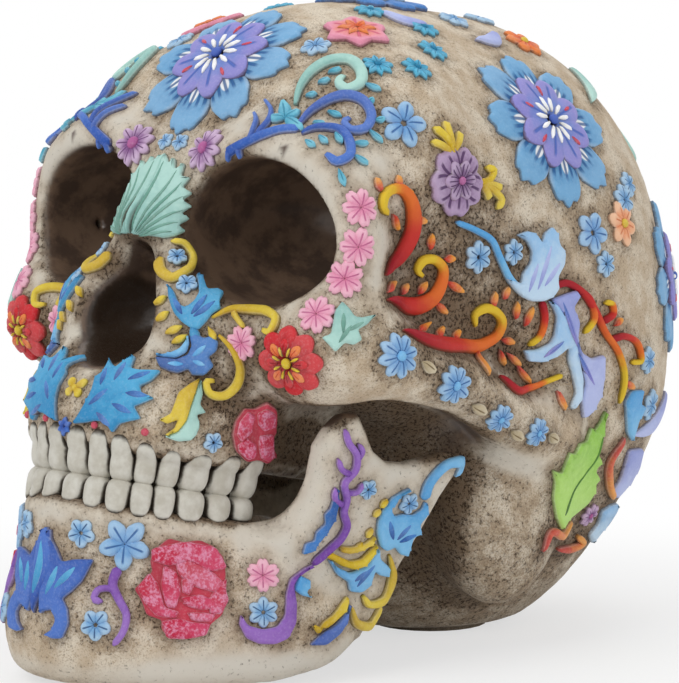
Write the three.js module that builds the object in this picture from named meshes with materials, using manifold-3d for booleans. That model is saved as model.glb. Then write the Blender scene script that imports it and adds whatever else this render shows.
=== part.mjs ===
// A decorated skull ornament: a cast skull, a cast jaw, two rows of teeth, felt feet, and raised
// flowers, leaves and scrolls seated on the bone. Millimetres, +Z up, the face looks along -Y.
import * as THREE from "three";
import { mergeVertices } from "three/addons/utils/BufferGeometryUtils.js";
import Module from "manifold-3d";

const wasm = await Module();
wasm.setup();

// Driving dimensions of the braincase
const CRANIUM_WIDTH = 114;
const CRANIUM_LENGTH = 122;
const CRANIUM_HEIGHT = 130;
const CRANIUM_BACK = 85;
const CRANIUM_TOP = 150;
const FOREHEAD_WIDTH = 106;
const FOREHEAD_FRONT = -56;

// Driving dimensions of the face
const ORBIT_WIDTH = 41;
const ORBIT_HEIGHT = 33;
const ORBIT_DEPTH = 30;
const ORBIT_SPREAD = 58;
const ORBIT_Z = 103;
const ORBIT_SPLAY = 8;
const ORBIT_DROOP = 10;
const RIM_RADIUS = 4.5;
const RIM_THINNING = 2;
const NOSE_WIDTH = 23;
const ARCH_WIDTH = 120;

// Driving dimensions of the bite, the teeth and the jaw
const BITE_Z = 45;
const BITE_TILT = 12;
const BITE_Y = -69;
const TOOTH_ARCH_WIDTH = 57;
const TOOTH_ARCH_LENGTH = 41;
const TOOTH_ARCH_SQUARE = 2.5;
const TOOTH_FRONT = 22;
const UPPER_CROWN = 9.5;
const LOWER_CROWN = 7.5;
const JAW_WIDTH = 86;
const JAW_LENGTH = 66;
const JAW_WALL = 11;
const JAW_BACK = -30;
const JAW_RISE_Y = -58;
const JAW_RISE = 0.14;
const SEAM = 1;

// The blade at each end of the jaw: its plane, its thickness, and its outline seen from the side,
// from the foot of its front edge over the front horn, the notch and the rear horn to the heel
const BLADE_X = 39;
const BLADE_LEAN = 0.26;
const BLADE_FLARE = 0.2;
const BLADE_THICKNESS = 7;
const BLADE_ROUND = 3;
const BLADE_OUTLINE = [
  [-66, 33], [-60, 42], [-58, 52], [-57, 60], [-53, 60], [-47, 53], [-38, 49], [-28, 48], [-21, 49],
  [-16, 48], [-17, 42], [-21, 33], [-25, 25], [-29, 15], [-33, 9], [-46, 5], [-58, 20],
];

// Driving dimensions of the felt feet, and where the skull stands
const FELT_THICKNESS = 1.5;
const SKULL_FELT_RADIUS = 14;
const JAW_FELT_RADIUS = 3;
const JAW_FELT_TURN = 38;
const STAND_Y = 28;
const GLUE = 0.3;

// How softly the masses of the castings run into each other
const CRANIUM_FILLET = 14;
const SIDE_FILLET = 12;
const CHEEK_FILLET = 16;
const FACE_FILLET = 10;
const NOSE_FILLET = 6;
const RIM_FILLET = 8;
const JAW_FILLET = 8;
const BLADE_FILLET = 12;
const FOOT_FILLET = 5;
const HOLE_FILLET = 4;
const GUM_FILLET = 2;
const SEAM_FILLET = 1;

// The grid that the castings are skinned on: small cells over the jaw and the face, larger ones behind
// and above, and how near a vertex may come to the walls of its cell, as a share of the cell
const JAW_CELL = 4.7;
const FINE_CELL = 5.7;
const COARSE_CELL = 9;
const FACE_BACK = -30;
const FACE_BOTTOM = 48;
const FACE_TOP = 126;
const GRID_ROOM = 14;
const CELL_MARGIN = 0.06;

// The crowns from the front tooth to the last, how far they run into each other, the room round
// them, and the gum bar behind them, as shares of a crown's depth and height
const CROWN_WIDTHS = [7, 6, 6.2, 5.6, 5.6, 7.6, 7.2, 6.6];
const CROWN_OVERLAP = 1.12;
const CROWN_DEPTH = 8;
const TOOTH_CLEARANCE = 0.6;
const GUM_INSET = { outer: 0.3, inner: 0.8 };
const GUM_SPAN = { low: 0.4, high: 0.9 };

// Driving dimensions of the raised ornaments
const FLOWER_THICKNESS = 2.2;
const HEART_SHARE = 0.6;
const MOST_RAISE = 3;
const LEAF_THICKNESS = 1.8;
const RELIEF_ROOT = 2;
const SCROLL_THICKNESS = 2;
const SCROLL_WIDTH = 3.4;
const SCROLL_TIP = 0.5;
const CREST_SHARE = 0.65;

const FOOT_Z = FELT_THICKNESS + GLUE;
const degrees = THREE.MathUtils.degToRad;

const vec = (x, y, z) => new THREE.Vector3(x, y, z);

// Rounded masses, as signed distances that are negative inside
function lobe(at, radii) {
  const least = Math.min(radii.x, radii.y, radii.z);
  return (p) => {
    const q = p.clone().sub(at).divide(radii);
    const reach = q.length();
    const slope = q.divide(radii).length();
    return slope < 1e-6 ? -least : (reach * (reach - 1)) / slope;
  };
}

function bar(from, to, fromRadius, toRadius) {
  const along = to.clone().sub(from);
  return (p) => {
    const q = p.clone().sub(from);
    const share = THREE.MathUtils.clamp(q.dot(along) / along.lengthSq(), 0, 1);
    return q.addScaledVector(along, -share).length() - THREE.MathUtils.lerp(fromRadius, toRadius, share);
  };
}

function blend(a, b, softness) {
  const mix = Math.max(softness - Math.abs(a - b), 0) / softness;
  return Math.min(a, b) - (mix * mix * softness) / 4;
}

const carve = (a, b, softness) => -blend(-a, b, softness);

function blendAll(masses, softness) {
  return (p) => masses.map((mass) => mass(p)).reduce((a, b) => blend(a, b, softness));
}

// A chain of bars through points given as [x, y, z, radius]
function chain(points) {
  const bars = points.slice(1).map((to, i) => {
    const from = points[i];
    return bar(vec(...from), vec(...to), from[3], to[3]);
  });
  return (p) => Math.min(...bars.map((part) => part(p)));
}

// Distance to a closed outline of straight sides, negative inside it
function outlineGap(at, corners) {
  let gap = Infinity;
  let inside = false;
  corners.forEach((from, i) => {
    const to = corners[(i + 1) % corners.length];
    const run = to.clone().sub(from);
    const q = at.clone().sub(from);
    const share = THREE.MathUtils.clamp(q.dot(run) / run.lengthSq(), 0, 1);
    if (at.y >= from.y !== at.y >= to.y && run.cross(q) * Math.sign(run.y) > 0) inside = !inside;
    gap = Math.min(gap, q.addScaledVector(run, -share).length());
  });
  return inside ? -gap : gap;
}

// Distance in plan to an ellipse about the midline, negative inside it
function planEllipse(p, centreY, halfWidth, halfLength) {
  const x = p.x / halfWidth;
  const y = (p.y - centreY) / halfLength;
  const reach = Math.hypot(x, y);
  const slope = Math.hypot(x / halfWidth, y / halfLength);
  return slope < 1e-6 ? -halfWidth : (reach * (reach - 1)) / slope;
}

// The middle of the tooth arch, and height above the bite plane, which drops towards the back
const archCentreY = BITE_Y - TOOTH_FRONT + TOOTH_ARCH_LENGTH;
const biteSlope = Math.tan(degrees(BITE_TILT));
const aboveBite = (p) => p.z - BITE_Z + (p.y - BITE_Y) * biteSlope;

// The braincase, with the forehead, the back of the head and the foot that it stands on
const braincase = lobe(
  vec(0, CRANIUM_BACK - CRANIUM_LENGTH / 2, CRANIUM_TOP - CRANIUM_HEIGHT / 2),
  vec(CRANIUM_WIDTH / 2, CRANIUM_LENGTH / 2, CRANIUM_HEIGHT / 2),
);
const forehead = lobe(vec(0, FOREHEAD_FRONT + 47, CRANIUM_TOP - 44), vec(FOREHEAD_WIDTH / 2, 47, 47));
const frontalBoss = lobe(
  vec(FOREHEAD_WIDTH / 2 - 27, FOREHEAD_FRONT + 31, CRANIUM_TOP - 28),
  vec(25, 22.5, 19),
);
const temple = lobe(vec(33, -20, 93), vec(18, 26, 34));
const occiput = lobe(vec(0, 39, 60), vec(50, 46, 46));
const skullFoot = lobe(vec(0, STAND_Y, 33), vec(37, 42, 37));
const mastoid = lobe(vec(40, 10, 36), vec(12, 17, 24));

// The face
const orbitAt = vec(ORBIT_SPREAD / 2, -51, ORBIT_Z);
const orbitTurn = new THREE.Matrix4()
  .makeRotationZ(degrees(ORBIT_SPLAY))
  .multiply(new THREE.Matrix4().makeRotationY(degrees(ORBIT_DROOP)))
  .invert();
const toOrbit = (p) => p.clone().sub(orbitAt).applyMatrix4(orbitTurn);
const orbitBowl = lobe(vec(0, 2, 0), vec(ORBIT_WIDTH / 2, ORBIT_DEPTH, ORBIT_HEIGHT / 2));

function orbitRim(q) {
  const flat = vec(q.x, q.z, 0);
  const across = ORBIT_WIDTH / 2 + RIM_RADIUS / 2;
  const tall = ORBIT_HEIGHT / 2 + RIM_RADIUS / 2;
  const inward = THREE.MathUtils.clamp(-q.x / across, 0, 1);
  return Math.hypot(planEllipse(flat, 0, across, tall), q.y) - RIM_RADIUS + RIM_THINNING * inward;
}

const brow = lobe(vec(25, -34, 113), vec(24, 19, 12));
const muzzle = blendAll(
  [
    lobe(vec(0, -49, 56), vec(28, 40, 30)),
    lobe(vec(15, -64, 60), vec(13, 19, 16)),
    lobe(vec(15, -58, 82), vec(13, 14, 15)),
    bar(vec(0, -50.5, 114), vec(0, -63.5, 103), 7.5, 5.5),
  ],
  FACE_FILLET,
);
const noseEdge = bar(vec(6.5, -60, 104), vec(12.5, -66, 82), 4, 6);
const cheek = lobe(vec(41, -49, 79), vec(15, 13, 13));
const midface = (p) => blend(blend(muzzle(p), noseEdge(p), NOSE_FILLET), cheek(p), CHEEK_FILLET);
const archSide = ARCH_WIDTH / 2;
const cheekArch = chain([
  [archSide - 13, -50, 78, 8.5],
  [archSide - 6, -42, 75.5, 7.5],
  [archSide - 4.5, -20, 68, 6.2],
  [archSide - 5, -2, 58.5, 5.6],
  [archSide - 9, 15, 53, 5.5],
]);
const eyeBar = bar(vec(45, -45, 114), vec(48, -46, 90), 6, 6.5);
const noseHole = blendAll(
  [
    lobe(vec(0, -78, 83), vec(NOSE_WIDTH / 2, 22, 10)),
    lobe(vec(0, -75, 91), vec(NOSE_WIDTH / 5.5, 18, 10)),
  ],
  NOSE_FILLET,
);

function skullField(point) {
  const p = vec(Math.abs(point.x), point.y, point.z);
  const q = toOrbit(p);
  let d = blend(braincase(p), forehead(p), CRANIUM_FILLET);
  d = blend(d, temple(p), SIDE_FILLET);
  d = blend(d, frontalBoss(p), SIDE_FILLET);
  d = blend(d, brow(p), FACE_FILLET);
  d = blend(d, occiput(p), CRANIUM_FILLET);
  d = blend(d, skullFoot(p), CRANIUM_FILLET);
  d = blend(d, mastoid(p), SIDE_FILLET);
  const face = blend(midface(p), orbitRim(q), RIM_FILLET);
  d = blend(d, blend(face, eyeBar(p), RIM_FILLET), FACE_FILLET);
  d = blend(d, cheekArch(p), SIDE_FILLET);
  d = carve(d, orbitBowl(q), HOLE_FILLET);
  d = carve(d, noseHole(p), HOLE_FILLET);
  const belowGum = Math.max(aboveBite(p) - UPPER_CROWN, p.y - BITE_Y - TOOTH_ARCH_LENGTH);
  return carve(d, belowGum, GUM_FILLET);
}

// The jaw: a bowed wall that leans in towards the teeth, and a leaning blade on each side
const bladeCorners = BLADE_OUTLINE.map((corner) => new THREE.Vector2(...corner));

function jawBlade(p) {
  const across = Math.abs(p.x - BLADE_X - BLADE_FLARE * p.y - BLADE_LEAN * p.z) - BLADE_THICKNESS / 2;
  const a = across + BLADE_ROUND;
  const b = outlineGap(new THREE.Vector2(p.y, p.z), bladeCorners) + BLADE_ROUND;
  return Math.min(Math.max(a, b), 0) + Math.hypot(Math.max(a, 0), Math.max(b, 0)) - BLADE_ROUND;
}

const chin = lobe(vec(0, -87, 14), vec(19, 10, 12));

function jawField(point) {
  const p = vec(Math.abs(point.x), point.y, point.z);
  const top = -LOWER_CROWN - aboveBite(p);
  const share = THREE.MathUtils.clamp((p.z - FOOT_Z) / (p.z - FOOT_Z + Math.max(top, 0.01)), 0, 1);
  const mix = (low, high) => THREE.MathUtils.lerp(low, high, share);
  const outer = planEllipse(
    p,
    mix(JAW_BACK, archCentreY),
    mix(JAW_WIDTH / 2, TOOTH_ARCH_WIDTH / 2 + 2.5),
    mix(JAW_LENGTH, TOOTH_ARCH_LENGTH + 2.5),
  );
  let d = Math.abs(outer + JAW_WALL / 2) - JAW_WALL / 2;
  d = carve(d, top, HOLE_FILLET);
  d = carve(d, JAW_BACK - 10 - p.y, JAW_FILLET);
  d = blend(d, chin(p), JAW_FILLET);
  d = blend(d, jawBlade(p), BLADE_FILLET);
  const inArch = planEllipse(p, archCentreY, TOOTH_ARCH_WIDTH / 2 + 2, TOOTH_ARCH_LENGTH + 2);
  d = carve(d, Math.max(inArch, top), SEAM_FILLET);
  d = carve(d, p.z - FOOT_Z - JAW_RISE * Math.max(p.y - JAW_RISE_Y, 0), FOOT_FILLET);
  return carve(d, skullField(point) - SEAM, SEAM_FILLET);
}

// Grid lines from one place to another, about a step apart
function lines(from, to, step) {
  const count = Math.round((to - from) / step);
  return Array.from({ length: count }, (_, i) => from + ((to - from) * i) / count);
}

function slopeOf(field, p, reach) {
  const along = (x, y, z) => {
    const step = vec(x, y, z).multiplyScalar(reach);
    return (field(p.clone().add(step)) - field(p.clone().sub(step))) / (2 * reach);
  };
  return vec(along(1, 0, 0), along(0, 1, 0), along(0, 0, 1));
}

// Groups the crossed edges of a cell into sheets of the surface. Crossed edges of one face belong
// together, but where all four are crossed, only those that meet at a corner inside the surface do
function groupEdges(inside) {
  const crossed = [];
  for (let corner = 0; corner < 8; corner++)
    for (const axis of [1, 2, 4]) {
      const other = corner | axis;
      if (corner & axis || inside[corner] === inside[other]) continue;
      crossed.push({ corner, axis, inner: inside[corner] ? corner : other, group: crossed.length });
    }
  for (const normal of [1, 2, 4])
    for (const level of [0, normal]) {
      const onFace = crossed.filter((e) => e.axis !== normal && (e.corner & normal) === level);
      for (const e of onFace)
        for (const f of onFace) {
          if (onFace.length === 4 && e.inner !== f.inner) continue;
          const old = f.group;
          for (const g of crossed) if (g.group === old) g.group = e.group;
        }
    }
  return crossed;
}

// Skins a field over a grid. Each cell that the surface crosses gets one vertex for each sheet of
// the surface in it, moved onto the surface but kept a margin within its cell
function skin(field, grid) {
  const [nx, ny, nz] = grid.map((g) => g.length);
  const stride = [ny * nz, nz, 1];
  const at = (n) => {
    const j = Math.floor(n / nz) % ny;
    return vec(grid[0][Math.floor(n / (ny * nz))], grid[1][j], grid[2][n % nz]);
  };
  const values = Float64Array.from({ length: nx * ny * nz }, (_, n) => field(at(n)));
  const stepTo = (corner) => stride.reduce((sum, s, a) => sum + ((corner >> a) & 1) * s, 0);
  const corners = Array.from({ length: 8 }, (_, corner) => stepTo(corner));
  const sheets = new Map();
  const sheetOfEdge = new Map();
  const edgeKey = (cell, corner, axis) => cell * 64 + corner * 8 + axis;
  for (let i = 0; i < nx - 1; i++)
    for (let j = 0; j < ny - 1; j++)
      for (let k = 0; k < nz - 1; k++) {
        const cell = (i * ny + j) * nz + k;
        for (const { corner, axis, group } of groupEdges(corners.map((c) => values[cell + c] < 0))) {
          const key = cell * 16 + group;
          if (!sheets.has(key)) sheets.set(key, { cell, middle: vec(0, 0, 0), crossings: 0 });
          const sheet = sheets.get(key);
          const near = cell + corners[corner];
          const far = cell + corners[corner | axis];
          sheet.middle.add(at(near).lerp(at(far), values[near] / (values[near] - values[far])));
          sheet.crossings++;
          sheetOfEdge.set(edgeKey(cell, corner, axis), sheet);
        }
      }

  const points = [];
  for (const sheet of sheets.values()) {
    const p = sheet.middle.divideScalar(sheet.crossings);
    const low = at(sheet.cell).lerp(at(sheet.cell + corners[7]), CELL_MARGIN);
    const high = at(sheet.cell).lerp(at(sheet.cell + corners[7]), 1 - CELL_MARGIN);
    for (let step = 0; step < 3; step++) {
      const slope = slopeOf(field, p, 0.5);
      p.addScaledVector(slope, -field(p) / slope.lengthSq()).clamp(low, high);
    }
    sheet.vertex = points.length;
    points.push(p);
  }

  const faces = [];
  for (let n = 0; n < values.length; n++)
    for (let a = 0; a < 3; a++) {
      const next = n + stride[a];
      if (next >= values.length || values[n] < 0 === values[next] < 0) continue;
      const b = (a + 1) % 3;
      const c = (a + 2) % 3;
      const ring = [(1 << b) | (1 << c), 1 << c, 0, 1 << b].map(
        (corner) => sheetOfEdge.get(edgeKey(n - corners[corner], corner, 1 << a)).vertex,
      );
      if (values[n] >= 0) ring.reverse();
      const [p, q, r, s] = ring;
      const short = points[p].distanceTo(points[r]) < points[q].distanceTo(points[s]);
      faces.push(...(short ? [p, q, r, p, r, s] : [p, q, s, q, r, s]));
    }
  return new THREE.BufferGeometry().setFromPoints(points).setIndex(faces);
}

const side = Math.max(CRANIUM_WIDTH, ARCH_WIDTH) / 2 + GRID_ROOM;
const jawFront = JAW_BACK - JAW_LENGTH;
const skullGrid = [
  [...lines(-side, side, FINE_CELL), side],
  [...lines(jawFront, FACE_BACK, FINE_CELL), ...lines(FACE_BACK, CRANIUM_BACK + GRID_ROOM, COARSE_CELL)],
  [
    ...lines(-GRID_ROOM, FACE_BOTTOM, COARSE_CELL),
    ...lines(FACE_BOTTOM, FACE_TOP, FINE_CELL),
    ...lines(FACE_TOP, CRANIUM_TOP + GRID_ROOM, COARSE_CELL),
  ],
];
const jawGrid = [
  [...lines(-side, side, JAW_CELL), side],
  lines(jawFront - GRID_ROOM, GRID_ROOM, JAW_CELL),
  lines(FOOT_Z - 2 * JAW_CELL, BITE_Z + 2 * GRID_ROOM, JAW_CELL),
];

// Solids for cutting and joining
function toSolid(geometry) {
  const bare = geometry.clone();
  bare.deleteAttribute("normal");
  bare.deleteAttribute("uv");
  const merged = mergeVertices(bare, 1e-4);
  const vertProperties = Float32Array.from(merged.getAttribute("position").array);
  const triVerts = Uint32Array.from(merged.index.array);
  return new wasm.Manifold(new wasm.Mesh({ numProp: 3, vertProperties, triVerts }));
}

function toGeometry(solid) {
  const mesh = solid.getMesh();
  const geometry = new THREE.BufferGeometry();
  geometry.setAttribute("position", new THREE.BufferAttribute(mesh.vertProperties, 3));
  return geometry.setIndex(new THREE.BufferAttribute(mesh.triVerts, 1));
}

// Half of the arch, from the front middle to the last tooth: a squarer curve than an ellipse
class HalfArch extends THREE.Curve {
  constructor(inset) {
    super();
    this.across = TOOTH_ARCH_WIDTH / 2 - inset;
    this.deep = TOOTH_ARCH_LENGTH - inset;
  }

  getPoint(share, target = new THREE.Vector2()) {
    const turn = (share * Math.PI) / 2;
    const power = 2 / TOOTH_ARCH_SQUARE;
    const forward = this.deep * Math.max(Math.cos(turn), 0) ** power;
    return target.set(this.across * Math.sin(turn) ** power, TOOTH_ARCH_LENGTH - TOOTH_FRONT - forward);
  }
}

const biteTurn = degrees(BITE_TILT);
const gumHeight = (crown) => crown * Math.cos(biteTurn);
const across = (p) => new THREE.Vector2(-p.x, p.y);
const roundArch = (points) => [...points.slice(1).reverse().map(across), ...points];
const inBite = (geometry) => geometry.rotateX(-biteTurn).translate(0, BITE_Y, BITE_Z);

// The room that the teeth take between the gums, with a little clearance round them
function toothRoom() {
  const arch = roundArch(new HalfArch(-TOOTH_CLEARANCE).getSpacedPoints(12));
  const back = (p) => new THREE.Vector2(p.x, p.y + CROWN_DEPTH);
  const outline = new THREE.Shape([back(arch[0]), ...arch, back(arch.at(-1))]);
  const depth = gumHeight(UPPER_CROWN + LOWER_CROWN);
  const room = new THREE.ExtrudeGeometry(outline, { depth, bevelEnabled: false });
  return toSolid(inBite(room.translate(0, 0, -gumHeight(LOWER_CROWN))));
}

// A row of teeth in the frame of the bite: crowns side by side round the arch, joined by a gum bar
function toothRow(height, facing) {
  const outline = [[0, 0], [0.9, 0], [1, 1], [0, 1]].map(([r, h]) => new THREE.Vector2(r, h));
  const crown = new THREE.LatheGeometry(outline, 8).rotateX((facing * Math.PI) / 2);
  const arch = new HalfArch(CROWN_DEPTH / 2);
  const total = CROWN_WIDTHS.reduce((sum, width) => sum + width, 0);
  const fit = arch.getLength() / total;
  const outer = new HalfArch(CROWN_DEPTH * GUM_INSET.outer).getSpacedPoints(12);
  const inner = new HalfArch(CROWN_DEPTH * GUM_INSET.inner).getSpacedPoints(12);
  const band = new THREE.Shape([...roundArch(outer), ...roundArch(inner).reverse()]);
  const barHeight = height * (GUM_SPAN.high - GUM_SPAN.low);
  const bar = new THREE.ExtrudeGeometry(band, { depth: barHeight, bevelEnabled: false });
  bar.translate(0, 0, height * (facing > 0 ? GUM_SPAN.low : -GUM_SPAN.high));
  let row = toSolid(bar);
  let along = 0;
  for (const width of CROWN_WIDTHS) {
    const share = (along + width / 2) / total;
    const at = arch.getPointAt(share);
    const heading = arch.getTangentAt(share).angle();
    for (const hand of [-1, 1]) {
      const tooth = crown.clone().scale((width * fit * CROWN_OVERLAP) / 2, CROWN_DEPTH / 2, height);
      tooth.rotateZ(hand * heading).translate(hand * at.x, at.y, 0);
      row = row.add(toSolid(tooth));
    }
    along += width;
  }
  return toGeometry(row);
}

function march(field, from, direction) {
  const p = from.clone();
  for (let step = 0; step < 60; step++) {
    const gap = field(p);
    if (Math.abs(gap) < 0.01) break;
    p.addScaledVector(direction, 0.9 * gap);
  }
  return p;
}

// A place on the bone, found along a bearing from a centre within it, with axes across, up and out.
// Azimuth 0 faces forward and grows towards +X
function placeAt(bone, azimuth, elevation) {
  const a = degrees(azimuth);
  const e = degrees(elevation);
  const ray = vec(Math.sin(a) * Math.cos(e), -Math.cos(a) * Math.cos(e), Math.sin(e));
  const at = march(bone.field, ray.clone().multiplyScalar(160).add(bone.centre), ray.clone().negate());
  const out = slopeOf(bone.field, at, 5).normalize();
  const across = vec(0, 0, 1).cross(out).normalize();
  return { bone, at, out, across, up: out.clone().cross(across) };
}

// Lays a flat form on the bone: each spot is [across, up, height above the bone]. The form is
// raised a little at a time until its solid clears what lies under it there. A form that is cast
// in one with the bone has roots: its underside lies within the bone
function drape(place, geometry, spots, lift, under = []) {
  const { bone, at, out, across, up } = place;
  const seats = spots.map(([u, v]) => {
    const above = at.clone().addScaledVector(across, u).addScaledVector(up, v).addScaledVector(out, 12);
    const on = march(bone.field, above, out.clone().negate());
    return { on, normal: slopeOf(bone.field, on, 2).normalize() };
  });
  const shell = geometry.clone();
  const position = shell.getAttribute("position");
  const raise = (height) =>
    seats.forEach(({ on, normal }, i) => {
      const p = on.clone().addScaledVector(normal, height + (spots[i][2] || -bone.root));
      position.setXYZ(i, p.x, p.y, p.z);
    });
  const below = [...bone.below, ...under];
  const touches = () => below.some((solid) => !solid.intersect(toSolid(shell)).isEmpty());
  let height = lift;
  raise(height);
  while (height < lift + MOST_RAISE && touches()) {
    height += GLUE / 2;
    raise(height);
  }
  return toGeometry(toSolid(shell));
}

// A flower: a thin round form whose rim goes in and out with the petals. Its rows are given as shares
// of the radius and of the thickness, from the middle of the top to the middle of the underside
function flower(place, radius, petals, notch, under = null) {
  const rows = [[0, 1], [0.55, 1], [1, 0.5], [0.6, 0], [0, 0]];
  const around = petals * 3;
  const geometry = new THREE.SphereGeometry(1, around, rows.length - 1);
  const spots = rows.flatMap(([reach, height]) =>
    Array.from({ length: around + 1 }, (_, i) => {
      const turn = (2 * Math.PI * i) / around;
      const r = -radius * reach * (i % 3 === 0 ? 1 - notch : 1);
      return [r * Math.cos(turn), r * Math.sin(turn), height * FLOWER_THICKNESS];
    }),
  );
  if (!under) return drape(place, geometry, spots, GLUE);
  return drape(place, geometry, spots, GLUE + FLOWER_THICKNESS + GLUE, [toSolid(under)]);
}

// A strip along a curve that starts at the place with a heading and turns faster towards its end
function strip(place, heading, length, turn, halfWidth, thickness, steps, lanes) {
  const geometry = new THREE.BoxGeometry(1, 1, 1, steps, lanes, 1);
  const fine = 8;
  const path = [new THREE.Vector2(0, 0)];
  const headingAt = (share) => degrees(heading + turn * share ** 3);
  for (let i = 1; i <= steps * fine; i++) {
    const way = headingAt((i - 0.5) / (steps * fine));
    const stride = new THREE.Vector2(Math.cos(way), Math.sin(way)).multiplyScalar(length / (steps * fine));
    path.push(path[i - 1].clone().add(stride));
  }
  const position = geometry.getAttribute("position");
  const spots = Array.from({ length: position.count }, (_, i) => {
    const share = position.getX(i) + 0.5;
    const top = position.getZ(i) > 0;
    const sideways = 2 * position.getY(i) * halfWidth(share) * (top ? CREST_SHARE : 1);
    const at = path[Math.round(share * steps * fine)];
    const way = headingAt(share);
    return [at.x - Math.sin(way) * sideways, at.y + Math.cos(way) * sideways, top ? thickness : 0];
  });
  return drape(place, geometry, spots, GLUE);
}

const scrollTaper = (share) => (SCROLL_WIDTH / 2) * THREE.MathUtils.lerp(1, SCROLL_TIP, share);

function scroll(place, heading, length, turn) {
  return strip(place, heading, length, turn, scrollTaper, SCROLL_THICKNESS, 14, 1);
}

function leaf(place, heading, length, turn, width) {
  const taper = (share) => 0.4 + (width / 2) * Math.sin(Math.PI * (0.08 + 0.86 * share)) ** 0.8;
  return strip(place, heading, length, turn, taper, LEAF_THICKNESS, 6, 2);
}

function mirrored(geometry) {
  const copy = geometry.clone().scale(-1, 1, 1);
  copy.index.array.reverse();
  return copy;
}

// Low relief that is cast in one with the skull. Places are bearings in degrees, followed by the
// radius, the petals and the depth of the notches between them
const skullCentre = vec(0, 0, 80);
const inSkull = { field: skullField, centre: skullCentre, root: RELIEF_ROOT, below: [] };
const castFlower = ([azimuth, elevation, ...form]) => flower(placeAt(inSkull, azimuth, elevation), ...form);
const midlineRelief = [
  [180, 84, 14, 8, 0.25],
  [180, 42, 11, 8, 0.25],
  [180, -24, 10, 8, 0.25],
].map(castFlower);
const browAndCrown = [
  [9, 36.5, 3.6, 8, 0.3],
  [58, 39, 5, 5, 0.4],
  [89, 69, 4, 5, 0.4],
].map(castFlower);
const cheekAndNose = [
  [48, 23.5, 3.6, 5, 0.3],
  [47, 17.5, 3.6, 5, 0.3],
  [45, 12, 3.6, 5, 0.3],
  [42, 6.5, 3.6, 5, 0.3],
  [25, -1, 3.2, 5, 0.3],
  [18, 6.5, 5, 5, 0.3],
  [19, -2, 4.5, 5, 0.3],
  [27, -17.5, 4, 8, 0.12],
].map(castFlower);
const sideAndBack = [
  [77, 16, 3.6, 5, 0.4],
  [115, 16.5, 4.2, 5, 0.4],
  [125, 16.5, 4.2, 5, 0.4],
  [146, 56, 5.4, 6, 0.3],
  [165, 62, 4, 6, 0.3],
  [172, 25, 4, 6, 0.3],
  [160, -22, 4, 6, 0.3],
].map(castFlower);
const castLeaves = [
  leaf(placeAt(inSkull, 148, 44), -75, 24, 0, 6),
  leaf(placeAt(inSkull, 134, -36), 80, 20, 0, 5),
  scroll(placeAt(inSkull, 113, 4), -35, 24, -40),
];
const pairedRelief = [...browAndCrown, ...cheekAndNose, ...sideAndBack, ...castLeaves];
const relief = [...midlineRelief, ...pairedRelief, ...pairedRelief.map(mirrored)].map(toSolid);

// The two castings, cut where the teeth go, the skull also cut flat where it stands
const room = toothRoom();
const belowFoot = toSolid(new THREE.BoxGeometry(400, 400, 100).translate(0, 0, FOOT_Z - 50));
const bareSkull = toSolid(skin(skullField, skullGrid));
const skullSolid = wasm.Manifold.union([bareSkull, ...relief]).subtract(belowFoot).subtract(room);
const jawSolid = toSolid(skin(jawField, jawGrid)).subtract(room);

// The bones as ornaments are glued to them
const onSkull = { field: skullField, centre: skullCentre, root: 0, below: [skullSolid] };
const onJaw = { field: jawField, centre: vec(0, -40, 25), root: 0, below: [jawSolid] };

// Finishes
const finish = (color, roughness = 0.5) => new THREE.MeshStandardMaterial({ color, roughness, metalness: 0 });
const bone = finish("#c9b48f", 0.6);
const ivory = finish("#e3d6ba", 0.45);
const felt = finish("#2b2622", 0.95);
const skyBlue = finish("#79b8dc");
const violet = finish("#8d8fce");
const royalBlue = finish("#3f68b8");
const mint = finish("#a9d6c4");
const pink = finish("#e98fac");
const purple = finish("#8a5f9e");
const red = finish("#c8323a");
const rose = finish("#cf4563");
const flame = finish("#dd5a35");
const lime = finish("#8fc64a");
const teal = finish("#3f9fcf");
const iris = finish("#8a63b5");

const skull = new THREE.Group();

function add(name, geometry, material) {
  const mesh = new THREE.Mesh(geometry, material);
  mesh.name = name;
  skull.add(mesh);
  return mesh;
}

function addPair(name, geometry, material) {
  add(`${name}_left`, geometry, material);
  add(`${name}_right`, mirrored(geometry), material);
}

add("skull_casting", toGeometry(skullSolid), bone);
add("jaw_casting", toGeometry(jawSolid), bone);

// The teeth fill the space between the gums, with a hairline at the bite
for (const [name, crown, facing] of [["upper_teeth", UPPER_CROWN, 1], ["lower_teeth", LOWER_CROWN, -1]]) {
  const row = toothRow(gumHeight(crown) - 1.5 * GLUE, facing);
  add(name, inBite(row.translate(0, 0, (facing * GLUE) / 2)), ivory);
}

// Felt feet under the skull and under each side of the jaw
function foot(radius, x, y) {
  const disc = new THREE.CylinderGeometry(radius, radius, FELT_THICKNESS, 24).rotateX(Math.PI / 2);
  return disc.translate(x, y, FELT_THICKNESS / 2);
}

const footTurn = degrees(JAW_FELT_TURN);
const footX = ((JAW_WIDTH - JAW_WALL) / 2) * Math.cos(footTurn);
const footY = JAW_BACK - (JAW_LENGTH - JAW_WALL / 2) * Math.sin(footTurn);
add("skull_felt", foot(SKULL_FELT_RADIUS, 0, STAND_Y), felt);
addPair("jaw_felt", foot(JAW_FELT_RADIUS, footX, footY), felt);

// Large flowers, each with a smaller one on top. Places are bearings in degrees, followed by the
// radius, the petals and the depth of the notches between them
function bigFlower(name, azimuth, elevation, radius, adder) {
  const place = placeAt(onSkull, azimuth, elevation);
  const petals = flower(place, radius, 8, 0.3);
  adder(name, petals, skyBlue);
  adder(`${name}_heart`, flower(place, radius * HEART_SHARE, 8, 0.3, petals), violet);
}

bigFlower("forehead_flower", 0, 56, 21, add);
bigFlower("parietal_flower", 113, 42, 21, addPair);
bigFlower("occipital_flower", 150, 4, 18.5, addPair);

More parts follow.
